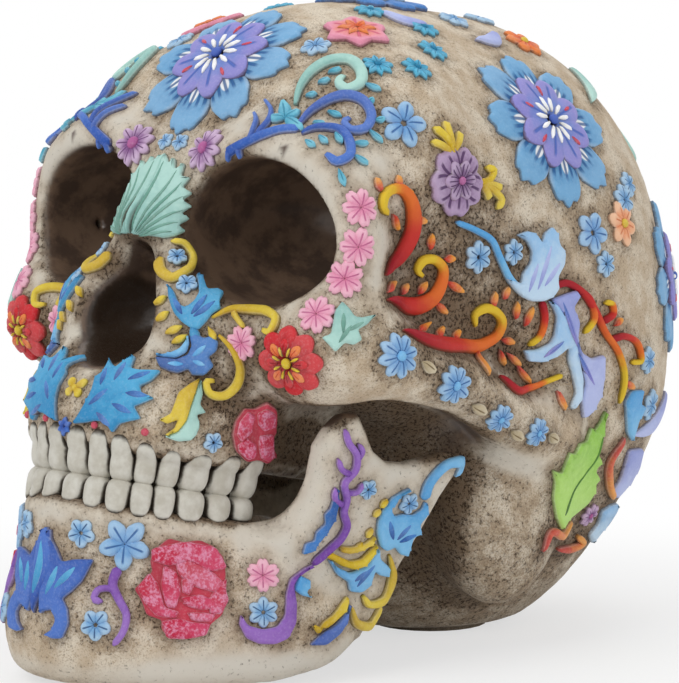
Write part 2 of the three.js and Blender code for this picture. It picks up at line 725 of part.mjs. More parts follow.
// Smaller flowers
addPair("crown_flower", flower(placeAt(onSkull, 49, 64), 8, 5, 0.5), pink);
addPair("temple_flower", flower(placeAt(onSkull, 71, 31), 8, 5, 0.4), purple);
addPair("cheek_flower", flower(placeAt(onSkull, 36, -3), 8.5, 8, 0.2), red);
addPair("arch_daisy_front", flower(placeAt(onSkull, 55, -3), 5, 8, 0.35), skyBlue);
addPair("arch_daisy_middle", flower(placeAt(onSkull, 68, -11), 4.6, 8, 0.35), skyBlue);
addPair("jaw_rose", flower(placeAt(onJaw, 34, -3), 10, 8, 0.12), rose);
addPair("jaw_flower", flower(placeAt(onJaw, 19, 10), 5.5, 5, 0.5), skyBlue);

// Leaves and lilies, with the heading of the root, the length, the turn towards the tip and the width
add("nose_leaf", leaf(placeAt(onSkull, 0, 19.5), 90, 15, 0, 12), mint);
add("chin_lily", leaf(placeAt(onJaw, 0, -10), 90, 16, 0, 10), royalBlue);
addPair("nape_leaf", leaf(placeAt(onSkull, 118, -43), 82, 28, 0, 9), lime);
addPair("moustache_leaf", leaf(placeAt(onSkull, 3, -12), 28, 18, 15, 8), teal);
addPair("side_tulip", leaf(placeAt(onSkull, 93, 8), 65, 19, -15, 9), skyBlue);
addPair("side_lily", leaf(placeAt(onSkull, 106, -3), -75, 20, 20, 8), violet);
addPair("jaw_spray", leaf(placeAt(onJaw, 93, -14), 72, 26, -10, 6), skyBlue);

// Scrolls and branches, with the heading of the root, the length and the turn towards the tip
addPair("flame_upper", scroll(placeAt(onSkull, 54, 13), 60, 31, 240), flame);
addPair("flame_middle", scroll(placeAt(onSkull, 55, 6), -10, 33, 340), flame);
addPair("flame_lower", scroll(placeAt(onSkull, 60, -1), -15, 42, 345), flame);
addPair("brow_scroll_upper", scroll(placeAt(onSkull, 35, 37), 50, 34, -380), royalBlue);
addPair("brow_scroll_lower", scroll(placeAt(onSkull, 39, 35), 10, 22, -320), royalBlue);
addPair("mint_scroll", scroll(placeAt(onSkull, 31, 45), 75, 34, -370), mint);
addPair("jaw_branch", scroll(placeAt(onJaw, 71, 5), 68, 20, 10), iris);
addPair("jaw_hook", scroll(placeAt(onJaw, 52, -6), -60, 24, 160), iris);

// The origin is on the ground, under the middle of the whole
const reach = new THREE.Box3().setFromObject(skull);
skull.position.y = -(reach.min.y + reach.max.y) / 2;

export default skull;
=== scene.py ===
import functools
import math

import bmesh
import bpy
import numpy as np
from mathutils import Matrix, Vector, kdtree, noise


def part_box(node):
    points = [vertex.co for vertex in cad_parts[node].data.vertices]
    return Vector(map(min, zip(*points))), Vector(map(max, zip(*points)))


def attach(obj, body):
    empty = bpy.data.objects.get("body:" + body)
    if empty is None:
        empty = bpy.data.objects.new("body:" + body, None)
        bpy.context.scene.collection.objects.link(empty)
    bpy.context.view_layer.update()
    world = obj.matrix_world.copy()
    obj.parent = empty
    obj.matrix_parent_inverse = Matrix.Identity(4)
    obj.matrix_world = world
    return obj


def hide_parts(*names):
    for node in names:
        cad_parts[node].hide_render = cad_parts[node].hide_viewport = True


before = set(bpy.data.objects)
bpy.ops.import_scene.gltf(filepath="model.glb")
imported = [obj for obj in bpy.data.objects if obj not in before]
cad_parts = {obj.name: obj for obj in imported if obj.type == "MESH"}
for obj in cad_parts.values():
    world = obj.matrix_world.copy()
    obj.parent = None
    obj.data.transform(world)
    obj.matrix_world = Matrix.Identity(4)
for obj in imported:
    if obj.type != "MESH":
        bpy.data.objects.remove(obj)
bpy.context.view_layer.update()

# Sizes are millimetres in the skull's own frame: +X is its left, -Y its face, +Z up
MM = 0.001
STAND_Y = 28
foot_low, foot_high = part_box("skull_felt")
SHIFT = np.array([0, (foot_low.y + foot_high.y) / 2 / MM - STAND_Y, 0])


def to_world(points):
    return (np.asarray(points) + SHIFT) * MM


def unit(vectors):
    return vectors / np.maximum(np.linalg.norm(vectors, axis=-1, keepdims=True), 1e-9)


# The photograph's camera
PHOTO_SIZE = (679, 683)
AZIMUTH = math.radians(46)
ELEVATION = math.radians(6.5)
DISTANCE = 950
FOCAL_PIXELS = DISTANCE / 0.24
SENSOR = 36
AIM = np.array([0, -3, 72])
BACK = np.array([
    math.sin(AZIMUTH) * math.cos(ELEVATION),
    -math.cos(AZIMUTH) * math.cos(ELEVATION),
    math.sin(ELEVATION),
])
RIGHT = np.array([math.cos(AZIMUTH), math.sin(AZIMUTH), 0])
UP = np.cross(BACK, RIGHT)
EYE = AIM + BACK * DISTANCE


def sight(pixels):
    """Directions from the camera through places in the photograph."""
    offset = (np.asarray(pixels, float) - np.array(PHOTO_SIZE) / 2) / FOCAL_PIXELS
    return unit(-BACK + RIGHT * offset[:, :1] - UP * offset[:, 1:])


# The bone's form: rounded lobes and bars that run into each other
FOOT_Z = 1.8
BRAINCASE = (0, 24, 85), (57, 61, 65)
FOREHEAD = (0, -9, 106), (53, 47, 47)
TEMPLE = (33, -20, 93), (18, 26, 34)
FRONTAL_BOSS = (26, -25, 122), (25, 22.5, 19)
BROW = (25, -34, 113), (24, 19, 12)
OCCIPUT = (0, 39, 60), (50, 46, 46)
SKULL_FOOT = (0, 28, 33), (37, 42, 37)
MASTOID = (40, 10, 36), (12, 17, 24)
PALATE = (0, -49, 56), (28, 40, 30)
MUZZLE = (15, -64, 60), (13, 19, 16)
NOSE_SIDE = (15, -58, 82), (13, 14, 15)
NOSE_BRIDGE = (0, -50.5, 114), (0, -63.5, 103), 7.5, 5.5
NOSE_EDGE = (6.5, -60, 104), (12.5, -66, 82), 4, 6
CHEEK = (41, -49, 79), (15, 13, 13)
CHEEK_ARCH = [
    (47, -50, 78, 8.5), (54, -42, 75.5, 7.5), (55.5, -20, 68, 6.2), (55, -2, 58.5, 5.6), (51, 15, 53, 5.5),
]
EYE_BAR = (45, -45, 114), (48, -46, 90), 6, 6.5
ORBIT = np.array([29, -51, 103])
ORBIT_TURN = np.array(Matrix.Rotation(math.radians(8), 3, "Z") @ Matrix.Rotation(math.radians(10), 3, "Y"))
ORBIT_BOWL = (0, 2, 0), (20.5, 30, 16.5)
ORBIT_RIM = 22.75, 18.75
RIM_RADIUS = 4.5
RIM_THINNING = 2
NOSE_HOLE = (0, -78, 83), (11.5, 22, 10)
NOSE_PEAK = (0, -75, 91), (4.2, 18, 10)
SEPTUM = (0, -61, 86), (1.4, 8, 14)
BITE_Y, BITE_Z, BITE_SLOPE = -69, 45, math.tan(math.radians(12))
UPPER_GUM, LOWER_GUM = 6.3, 5.2
ARCH_BACK = -28
ARCH_CENTRE_Y = -50
ARCH_INSIDE = 30.5, 43
JAW_FOOT = -30, 43, 66
JAW_TOP = -50, 31, 43.5
JAW_WALL = 11
JAW_BACK = -40
JAW_RISE_Y, JAW_RISE = -58, 0.14
BLADE_X, BLADE_RISE, BLADE_FLARE = 39, 0.26, 0.2
BLADE_HALF, BLADE_ROUND = 3.5, 3
BLADE = np.array([
    (-60, 34), (-55, 37), (-53, 43), (-52, 48), (-52, 56), (-50, 60), (-47, 63), (-44, 63), (-41, 59),
    (-38, 54), (-34, 51), (-28, 50), (-22, 51), (-17, 52), (-14, 51), (-14, 47), (-17, 42), (-21, 33),
    (-25, 25), (-29, 15), (-33, 9), (-46, 5), (-58, 20),
])
CHIN = (0, -87, 14), (19, 10, 12)


def lobe(p, at, radii):
    """Distance to an egg-shaped lobe, negative inside it."""
    q = (p - np.array(at)) / np.array(radii)
    reach = np.linalg.norm(q, axis=-1)
    slope = np.linalg.norm(q / np.array(radii), axis=-1)
    return reach * (reach - 1) / np.maximum(slope, 1e-6)


def oval(x, y, half_width, half_length):
    """Distance to a flat oval, negative inside it."""
    flat = np.stack([x, y], -1)
    return lobe(flat, (0, 0), (half_width, half_length))


def bar(p, start, end, start_radius, end_radius):
    """Distance to a round bar that tapers, negative inside it."""
    run = np.subtract(end, start).astype(float)
    share = np.clip((p - start) @ run / (run @ run), 0, 1)
    gap = np.linalg.norm(p - start - share[:, None] * run, axis=-1)
    return gap - start_radius - (end_radius - start_radius) * share


def blend(a, b, soft):
    """Joins two forms with a soft seam."""
    near = np.maximum(soft - np.abs(a - b), 0) / soft
    return np.minimum(a, b) - near * near * soft / 4


def carve(a, b, soft):
    """Cuts the second form out of the first with a soft edge."""
    return -blend(-a, b, soft)


def outline(p, corners):
    """Distance to a closed outline of straight sides, negative inside it."""
    gap, crossings = np.full(len(p), 1e3), np.zeros(len(p), int)
    for start, end in zip(corners, np.roll(corners, -1, 0)):
        run, q = end - start, p - start
        share = np.clip(q @ run / (run @ run), 0, 1)
        gap = np.minimum(gap, np.linalg.norm(q - share[:, None] * run, axis=-1))
        level = (p[:, 1] >= start[1]) != (p[:, 1] >= end[1])
        crossings += level & ((run[0] * q[:, 1] - run[1] * q[:, 0]) * np.sign(run[1]) > 0)
    return np.where(crossings % 2 == 1, -gap, gap)


def blade_rounding(slab, edge):
    """A slab within an outline, with rounded edges."""
    a, b = slab + BLADE_ROUND, edge + BLADE_ROUND
    return np.minimum(np.maximum(a, b), 0) + np.hypot(np.maximum(a, 0), np.maximum(b, 0)) - BLADE_ROUND


def left_half(p):
    return np.column_stack([np.abs(p[:, 0]), p[:, 1], p[:, 2]])


def above_bite(p):
    """Height above the sloping plane in which the teeth meet."""
    return p[:, 2] - BITE_Z + (p[:, 1] - BITE_Y) * BITE_SLOPE


def socket_field(p):
    return lobe((left_half(p) - ORBIT) @ ORBIT_TURN, *ORBIT_BOWL)


def nose_field(p):
    p = left_half(p)
    return blend(lobe(p, *NOSE_HOLE), lobe(p, *NOSE_PEAK), 6)


# Each form of the head and face in turn, and how softly it runs into the ones before it
HEAD_FORMS = [
    (FOREHEAD, 14), (TEMPLE, 12), (FRONTAL_BOSS, 12), (BROW, 10), (OCCIPUT, 14), (SKULL_FOOT, 14),
    (MASTOID, 12),
]
FACE_FORMS = [
    (lobe, MUZZLE, 10), (lobe, NOSE_SIDE, 10), (bar, NOSE_BRIDGE, 10), (bar, NOSE_EDGE, 6), (lobe, CHEEK, 16),
]


def skull_field(p):
    p = left_half(p)
    d = lobe(p, *BRAINCASE)
    for form, soft in HEAD_FORMS:
        d = blend(d, lobe(p, *form), soft)
    face = lobe(p, *PALATE)
    for kind, form, soft in FACE_FORMS:
        face = blend(face, kind(p, *form), soft)
    q = (p - ORBIT) @ ORBIT_TURN
    inner = np.clip(-q[:, 0] / ORBIT_RIM[0], 0, 1)
    rim = np.hypot(oval(q[:, 0], q[:, 2], *ORBIT_RIM), q[:, 1]) - RIM_RADIUS + RIM_THINNING * inner
    face = blend(blend(face, rim, 8), bar(p, *EYE_BAR), 8)
    d = blend(d, face, 10)
    arch = np.full(len(p), 1e3)
    for start, end in zip(CHEEK_ARCH, CHEEK_ARCH[1:]):
        arch = np.minimum(arch, bar(p, start[:3], end[:3], start[3], end[3]))
    d = blend(d, arch, 12)
    d = carve(d, socket_field(p), 4)
    d = carve(d, nose_field(p), 4)
    d = blend(d, np.maximum(lobe(p, *SEPTUM), nose_field(p)), 2)
    d = carve(d, np.maximum(above_bite(p) - UPPER_GUM, p[:, 1] - ARCH_BACK), 2)
    return carve(d, p[:, 2] - FOOT_Z, 2)


def jaw_field(p):
    p = left_half(p)
    top = -LOWER_GUM - above_bite(p)
    rise = p[:, 2] - FOOT_Z
    share = np.clip(rise / (rise + np.maximum(top, 0.01)), 0, 1)
    middle, half_width, half_length = [a + (b - a) * share for a, b in zip(JAW_FOOT, JAW_TOP)]
    q = np.stack([p[:, 0] / half_width, (p[:, 1] - middle) / half_length], -1)
    reach = np.linalg.norm(q, axis=-1)
    slope = np.hypot(q[:, 0] / half_width, q[:, 1] / half_length)
    outer = reach * (reach - 1) / np.maximum(slope, 1e-6)
    d = np.abs(outer + JAW_WALL / 2) - JAW_WALL / 2
    d = carve(d, top, 4)
    d = carve(d, JAW_BACK - p[:, 1], 8)
    d = blend(d, lobe(p, *CHIN), 8)
    slab = np.abs(p @ (1, -BLADE_FLARE, -BLADE_RISE) - BLADE_X) - BLADE_HALF
    d = blend(d, blade_rounding(slab, outline(p[:, 1:], BLADE)), 12)
    in_arch = oval(p[:, 0], p[:, 1] - ARCH_CENTRE_Y, *ARCH_INSIDE)
    d = carve(d, np.maximum(in_arch, top), 1)
    return carve(d, rise - JAW_RISE * np.maximum(p[:, 1] - JAW_RISE_Y, 0), 5)


def bone_field(p):
    return np.minimum(skull_field(p), jaw_field(p))


def lean(field, p, reach=0.6):
    """The field's slope, which points straight out of the bone."""
    steps = np.eye(3) * reach
    return np.stack([field(p + step) - field(p - step) for step in steps], -1) / (2 * reach)


def settle(field, p, turns=3, reach=0.6):
    """Moves points straight onto the bone."""
    for _ in range(turns):
        out = lean(field, p, reach)
        p = p - out * (field(p) / np.maximum((out * out).sum(-1), 0.25))[:, None]
    return p


RAY_STEP = -4, 14
RAY_STRIDE = 0.85


def land(field, start, direction, turns=70):
    """Where rays first meet the bone, or where they pass it closest."""
    p = np.array(start, float)
    best, nearest = p.copy(), np.full(len(p), 1e6)
    for _ in range(turns):
        gap = field(p)
        closer = gap < nearest
        best[closer] = p[closer]
        nearest = np.minimum(nearest, gap)
        p = p + direction * (np.clip(gap, *RAY_STEP) * RAY_STRIDE)[:, None]
    return best


CLEAR_REACH = 130
FIELDS = {"skull": skull_field, "jaw": jaw_field}
CENTRES = {"skull": np.array([0, 0, 80]), "jaw": np.array([0, -40, 25])}


def bearing(azimuth, elevation, bone="skull"):
    """A place on the bone, by its direction from the bone's middle."""
    turn, rise = math.radians(azimuth), math.radians(elevation)
    out = np.array([[
        math.sin(turn) * math.cos(rise),
        -math.cos(turn) * math.cos(rise),
        math.sin(rise),
    ]])
    return tuple(land(FIELDS[bone], CENTRES[bone] + out * CLEAR_REACH, -out)[0])


class Wire:
    """A node's output, so that shader maths reads as Python."""

    def __init__(self, sheet, socket):
        self.sheet = sheet
        self.socket = socket

    def math(self, operation, *values):
        return self.sheet.node("ShaderNodeMath", {"operation": operation}, dict(enumerate(values)))

    def __add__(self, other):
        return self.math("ADD", self, other)

    def __radd__(self, other):
        return self.math("ADD", other, self)

    def __sub__(self, other):
        return self.math("SUBTRACT", self, other)

    def __rsub__(self, other):
        return self.math("SUBTRACT", other, self)

    def __mul__(self, other):
        return self.math("MULTIPLY", self, other)

    def __rmul__(self, other):
        return self.math("MULTIPLY", other, self)

    def __truediv__(self, other):
        return self.math("DIVIDE", self, other)

    def __pow__(self, other):
        return self.math("POWER", self, other)

    def __abs__(self):
        return self.math("ABSOLUTE", self)


def tone(code):
    """A paint's colour code as linear light."""
    parts = [int(code[i:i + 2], 16) / 255 for i in (1, 3, 5)]
    return tuple(c / 12.92 if c <= 0.04045 else ((c + 0.055) / 1.055) ** 2.4 for c in parts) + (1,)


class Sheet:
    """A node tree written as expressions."""

    def __init__(self, tree):
        self.tree = tree

    def node(self, kind, settings=None, inputs=None, output=0):
        node = self.tree.nodes.new(kind)
        for key, value in (settings or {}).items():
            setattr(node, key, value)
        for key, value in (inputs or {}).items():
            self.feed(self.pick(node.inputs, key), value)
        return Wire(self, self.pick(node.outputs, output))

    @staticmethod
    def pick(sockets, key):
        if isinstance(key, int):
            return sockets[key]
        return next(socket for socket in sockets if socket.name == key and socket.enabled)

    def feed(self, socket, value):
        if isinstance(value, Wire):
            self.tree.links.new(value.socket, socket)
        else:
            socket.default_value = value

    def seen(self):
        """1 where the camera looks at a thing itself, in a gloss or through glass."""
        kinds = ("Camera", "Glossy", "Transmission")
        rays = [self.node("ShaderNodeLightPath", output=f"Is {kind} Ray") for kind in kinds]
        return functools.reduce(lambda a, b: a.math("MAXIMUM", a, b), rays)


class Finish(Sheet):
    """A material for one kind of surface."""

    def __init__(self, name):
        self.material = bpy.data.materials.new(name)
        self.material.use_nodes = True
        super().__init__(self.material.node_tree)
        self.shader = self.tree.nodes["Principled BSDF"]
        self.place = self.node("ShaderNodeTexCoord", output="Object")

    def attribute(self, name):
        return self.node("ShaderNodeAttribute", {"attribute_name": name}, output="Fac")

    def grain(self, scale, detail, roughness):
        sockets = {"Vector": self.place, "Scale": scale, "Detail": detail, "Roughness": roughness}
        return self.node("ShaderNodeTexNoise", {}, sockets, "Fac")

    def ramp(self, value, low, high):
        """Rises smoothly from 0 at low to 1 at high."""
        sockets = {"Value": value, "From Min": low, "From Max": high}
        return self.node("ShaderNodeMapRange", {"interpolation_type": "SMOOTHSTEP"}, sockets, "Result")

    def mix(self, share, first, second):
        sockets = {"Factor": share, "A": first, "B": second}
        return self.node("ShaderNodeMix", {"data_type": "RGBA"}, sockets, "Result")

    def paint(self, colour, fine, height):
        """Closes a paint: satin, with the dark wash and painted shade left where the form meets the bone."""
        crest = self.attribute("crest") + (fine - 0.5) * 0.3
        # Brown wash and painted shade darken the low edges where the form meets the bone
        colour = self.mix((1 - self.ramp(crest, 0.1, 0.48)) * 0.8, colour, WASH_AND_SHADE)
        return self.dress(colour, 0.4 + fine * 0.16, height, PAINT_DEPTH)

    def dress(self, colour, roughness, height, depth):
        self.feed(self.shader.inputs["Base Color"], colour)
        self.feed(self.shader.inputs["Roughness"], roughness)
        self.feed(self.shader.inputs["Specular IOR Level"], SHEEN)
        sockets = {"Height": height, "Strength": BUMP_STRENGTH, "Distance": depth * MM}
        self.feed(self.shader.inputs["Normal"], self.node("ShaderNodeBump", {}, sockets))
        return self.material


# Grains: how many to the metre, how much detail, how rough
CLOUD = 130, 5, 0.62
GRIT = 700, 4, 0.65
SAND_GRAIN = 2400, 3, 0.6
PIT_GRAIN = 1350, 5, 0.72
TOOTH_CLOUD = 260, 4, 0.6
TOOTH_STREAK = 900, 3, 0.6
FELT_FIBRE = 2600, 4, 0.7
FELT_PATCH = 300, 2, 0.5
BRUSH = 420, 3, 0.6
FINE_BRUSH = 1700, 3, 0.6

# Bone, tooth, felt and flame colours, gloss, and depths of the grain
SHEEN = 0.12
BUMP_STRENGTH = 0.6
BONE_DEPTH, TOOTH_DEPTH, FELT_DEPTH, PAINT_DEPTH = 0.5, 0.15, 0.25, 0.4
SOCKET_GLOSS = 0.22
WHITE = tone("#ffffff")
WORN_EDGE = tone("#f4f2ea")
CREAM = tone("#d2ccc0")
SAND = tone("#c4b198")
PALE_SAND = tone("#dbcfbc")
BROWN_SAND = tone("#a48f75")
STIPPLE = tone("#33261c")
# Brown of the wash, used also as painted shade in hollows and where forms meet
WASH_AND_SHADE = tone("#5e4a37")
SOCKET_BROWN = tone("#76604f")
SOCKET_DARK = tone("#54443a")
IVORY = tone("#d3d0c6")
IVORY_SHADE = tone("#bdb8ab")
# Brown between and behind the crowns: stain with painted shade
TOOTH_BROWN = tone("#33281c")
FELT_DARK = tone("#7d7060")
FELT_LIGHT = tone("#a09280")
FELT_WORN = tone("#5f5446")
FELT_ROUGHNESS = 0.95
CRIMSON = tone("#a0232e")
SCARLET = tone("#c83832")
FLAME_ORANGE = tone("#e27233")
FLAME_YELLOW = tone("#e0be38")


def bone_finish():
    finish = Finish("cast_bone")
    wash_and_shade = finish.attribute("wash_and_shade")
    hollow_and_shade = finish.attribute("hollow_and_shade")
    polish_and_highlight = finish.attribute("polish_and_highlight")
    cloud = finish.grain(*CLOUD)
    grit = finish.grain(*GRIT)
    sand = finish.grain(*SAND_GRAIN)
    stippled = finish.ramp(wash_and_shade + (cloud - 0.5) * 0.9, 0.1, 1.0) * (1 - polish_and_highlight * 0.9)
    pits = finish.ramp(finish.grain(*PIT_GRAIN) + stippled * 0.1 + (grit - 0.5) * 0.3, 0.61, 0.69)
    bare = finish.mix(finish.ramp(cloud, 0.36, 0.62), PALE_SAND, SAND)
    bare = finish.mix(finish.ramp(sand + stippled * 0.12, 0.5, 0.66) * (1 - polish_and_highlight) * 0.7, bare, BROWN_SAND)
    # Cream on rubbed edges, partly a painted highlight
    bare = finish.mix(polish_and_highlight, bare, CREAM)
    # Brown wash with painted shade, laid where the wash attribute is high
    stain_and_shade = finish.ramp(wash_and_shade + (grit - 0.5) * 0.8 + (cloud - 0.5) * 0.8, 0.15, 1.15)
    colour = finish.mix(stain_and_shade * 0.8, bare, WASH_AND_SHADE)
    colour = finish.mix(pits * (0.5 + stippled * 0.4), colour, STIPPLE)
    # Dark socket and nose paint, also laid as painted shade in deep hollows and on the small hole above the
    # brow
    dark = finish.mix(finish.ramp(cloud, 0.4, 0.62), SOCKET_DARK, SOCKET_BROWN)
    dark = finish.mix(finish.ramp(hollow_and_shade, 1, 1.5), dark, STIPPLE)
    colour = finish.mix(finish.ramp(hollow_and_shade, 0, 1), colour, dark)
    height = (grit * 0.6 + sand * 0.4 - pits) * (1 - polish_and_highlight * 0.8) * (1 - hollow_and_shade * 0.85)
    finish.feed(finish.shader.inputs["Coat Weight"], finish.ramp(hollow_and_shade, 0, 1) * 0.7)
    finish.feed(finish.shader.inputs["Coat Roughness"], SOCKET_GLOSS)
    return finish.dress(colour, 0.6 - hollow_and_shade * 0.2, height, BONE_DEPTH)


def tooth_finish():
    finish = Finish("ivory_tooth")
    stain_and_shade = finish.attribute("stain_and_shade")
    cloud = finish.grain(*TOOTH_CLOUD)
    streak = finish.grain(*TOOTH_STREAK)
    colour = finish.mix(finish.ramp(cloud, 0.3, 0.7), IVORY, IVORY_SHADE)
    # Brown stain with painted shade at the crowns' sides and roots
    brown = finish.ramp(stain_and_shade + (streak - 0.5) * 0.4, 0.35, 0.95)
    colour = finish.mix(brown * 0.95, colour, TOOTH_BROWN)
    return finish.dress(colour, 0.34 + brown * 0.3, cloud * 0.6 + streak * 0.3, TOOTH_DEPTH)


def felt_finish():
    finish = Finish("foot_felt")
    fibre = finish.grain(*FELT_FIBRE)
    patch = finish.grain(*FELT_PATCH)
    colour = finish.mix(finish.ramp(fibre, 0.35, 0.65), FELT_DARK, FELT_LIGHT)
    colour = finish.mix(patch * 0.3, colour, FELT_WORN)
    return finish.dress(colour, FELT_ROUGHNESS, fibre, FELT_DEPTH)


def paint_finish(name, root, tip, line=None, rays=1, reach=0.75, spot=None, dust=None):
    """Brushed paint from root to tip, with engraved lines, a light drop at the root, dust and worn edges."""
    finish = Finish(name + "_paint")
    along = finish.attribute("along")
    across = finish.attribute("across")
    tint = finish.attribute("tint")
    brush = finish.grain(*BRUSH)
    fine = finish.grain(*FINE_BRUSH)
    colour = finish.mix(finish.ramp(along + (brush - 0.5) * 0.8, 0.1, 0.85), tone(root), tone(tip))
    colour = finish.mix(tint * 0.06 + finish.ramp(fine, 0.45, 0.75) * 0.07, colour, WHITE)
    if dust:
        colour = finish.mix(finish.ramp(brush * 0.5 + fine * 0.5, 0.44, 0.62) * 0.7, colour, tone(dust))
    colour = finish.mix(finish.ramp(abs(across), 0.8, 1) * 0.2, colour, WORN_EDGE)
    height = brush * 0.6 + fine * 0.3
    if spot:
        shape = ((along - 0.3) / 0.2) ** 2 + (across / 0.3) ** 2
        colour = finish.mix(1 - finish.ramp(shape, 0.55, 1.0), colour, tone(spot))
    if line:
        turn = across * (rays / 2) + 0.5
        gap = abs(turn.math("FRACT", turn) - 0.5) * (2 / rays)
        groove = (1 - finish.ramp(gap, 0.05, 0.17 if rays < 3 else 0.12))
        groove = groove * (1 - finish.ramp(along, reach - 0.15, reach)) * finish.ramp(along, 0.02, 0.1)
        colour = finish.mix(groove * 0.85, colour, tone(line))
        height = height - groove
    return finish.paint(colour, fine, height)


# Paints: root, tip, engraved line, lines on a petal, their reach, light drop at the root, dust
PAINT_CODES = {
    "sky": ("#4a87ba", "#76acd6", "#2b5c95", 5, 0.62, "#f4f6f6"),
    "violet": ("#6582ca", "#8f8ad0", "#4766b8", 1, 0.85),
    "white": ("#f1f0ec", "#ffffff"),
    "red_dash": ("#c23a52", "#cf4a5e"),
    "lilac": ("#8a5a92", "#d0b2d2", "#5b2d63", 1, 0.85),
    "magenta": ("#a8508f", "#b8629c"),
    "purple": ("#75507f", "#b49abc", "#4b2b58", 3, 0.85),
    "periwinkle": ("#6d9fd2", "#9cc2e4", "#2f5c9c", 1, 0.8),
    "star": ("#74a6d4", "#aacbe6", "#26497d", 1, 0.85),
    "cyan": ("#3499c0", "#5cb8da", "#20749a", 1, 0.8),
    "coral": ("#e5806a", "#e590aa", "#cf5a78", 1, 0.7),
    "orange": ("#e0683a", "#ea8646", "#cc4a2b", 1, 0.7),
    "peach": ("#ec9a6a", "#f2c09a", "#d9784a", 1, 0.7),
    "pink": ("#e08aac", "#f2b6ca", "#c4608e", 1, 0.8),
    "red": ("#a81a22", "#d02a32", "#861820", 1, 0.6),
    "rose": ("#ae1c38", "#c82a48"),
    "rose_petal": ("#c02646", "#cf4468", None, 1, 0.75, None, "#e6a6c4"),
    "yellow": ("#cba822", "#e2c840"),
    "royal": ("#2f57ac", "#4a74c6"),
    "teal_drop": ("#4aa3c0", "#70c0d6", "#3a88a6", 1, 0.8),
    "teal": ("#2c8ac0", "#50aad8"),
    "cobalt": ("#2c5aa0", "#4580c6"),
    "sky_leaf": ("#54a2dc", "#7cbeea"),
    "tulip_blue": ("#98c4ec", "#c4def4"),
    "lavender": ("#98a2dc", "#b6c0ec"),
    "mint": ("#92c2ba", "#b0dad0"),
    "mint_vein": ("#639486", "#78aa9b"),
    "lime": ("#94c852", "#b6e074"),
    "moss": ("#4d7a30", "#5d8c3a"),
    "iris": ("#7a48a6", "#9a6ec2"),
    "bone_leaf": ("#b5a482", "#cfc1a4", "#7d6746", 1, 0.8),
    "ember": ("#cc3d2c", "#e89a38"),
}
PAINTS = {name: paint_finish(name, *codes) for name, codes in PAINT_CODES.items()}


def flame_finish():
    """Paint that runs from crimson through orange to a yellow tip."""
    finish = Finish("flame_paint")
    brush = finish.grain(*BRUSH)
    fine = finish.grain(*FINE_BRUSH)
    along = finish.attribute("along") + (brush - 0.5) * 0.12
    colour = finish.mix(finish.ramp(along, 0.05, 0.4), CRIMSON, SCARLET)
    colour = finish.mix(finish.ramp(along, 0.36, 0.6), colour, FLAME_ORANGE)
    colour = finish.mix(finish.ramp(along, 0.66, 0.84), colour, FLAME_YELLOW)
    return finish.paint(colour, fine, brush * 0.35 + fine * 0.2)


PAINTS["flame"] = flame_finish()


def to_mesh(bm, name):
    mesh = bpy.data.meshes.new(name)
    bm.to_mesh(mesh)
    bm.free()
    return mesh


def show(name, mesh):
    piece = bpy.data.objects.new(name, mesh)
    bpy.context.collection.objects.link(piece)
    return piece


def read_points(mesh):
    flat = np.empty(len(mesh.vertices) * 3)
    mesh.vertices.foreach_get("co", flat)
    return flat.reshape(-1, 3)


def write_points(mesh, points):
    mesh.vertices.foreach_set("co", np.ascontiguousarray(points, np.float32).ravel())
    mesh.update()


def write_values(mesh, name, values):
    layer = mesh.attributes.new(name, "FLOAT", "POINT")
    layer.data.foreach_set("value", np.ascontiguousarray(values, np.float32))


def smooth_shade(mesh):
    mesh.polygons.foreach_set("use_smooth", np.ones(len(mesh.polygons), bool))


def close_below(bm):
    """Gives an open sheet a wall round its rim and a floor one unit below it."""
    made = bmesh.ops.extrude_edge_only(bm, edges=[edge for edge in bm.edges if edge.is_boundary])["geom"]
    low = [part for part in made if isinstance(part, bmesh.types.BMVert)]
    bmesh.ops.translate(bm, verts=low, vec=(0, 0, -1))
    bmesh.ops.edgeloop_fill(bm, edges=[edge for edge in bm.edges if edge.is_boundary])
    bmesh.ops.recalc_face_normals(bm, faces=bm.faces)


@functools.cache
def strip_form(steps, lanes):
    """A closed slab with an even grid on top: shares along it, shares across it, and its low rim."""
    bm = bmesh.new()
    bmesh.ops.create_grid(bm, x_segments=steps, y_segments=lanes, size=1)
    close_below(bm)
    mesh = to_mesh(bm, "strip_form")
    points = read_points(mesh)
    along = (points[:, 0] - points[:, 0].min()) / np.ptp(points[:, 0])
    across = 2 * (points[:, 1] - points[:, 1].min()) / np.ptp(points[:, 1]) - 1
    return mesh, along, across, points[:, 2] < -0.5


@functools.cache
def bead_form():
    bm = bmesh.new()
    bmesh.ops.create_uvsphere(bm, u_segments=12, v_segments=8, radius=1)
    mesh = to_mesh(bm, "bead_form")
    return mesh, read_points(mesh)


# Plates cut to an outline, in pixels of the photograph
CUT_BEVEL = 1.7
CUT_GRID = 9
CUT_CORNER = 0.12


def round_off(corners):
    """Takes the sharpness off the corners of a closed outline."""
    for _ in range(2):
        after = np.roll(corners, -1, 0)
        step = (after - corners) * CUT_CORNER
        corners = np.stack([corners + step, after - step], 1).reshape(-1, 2)
    return corners


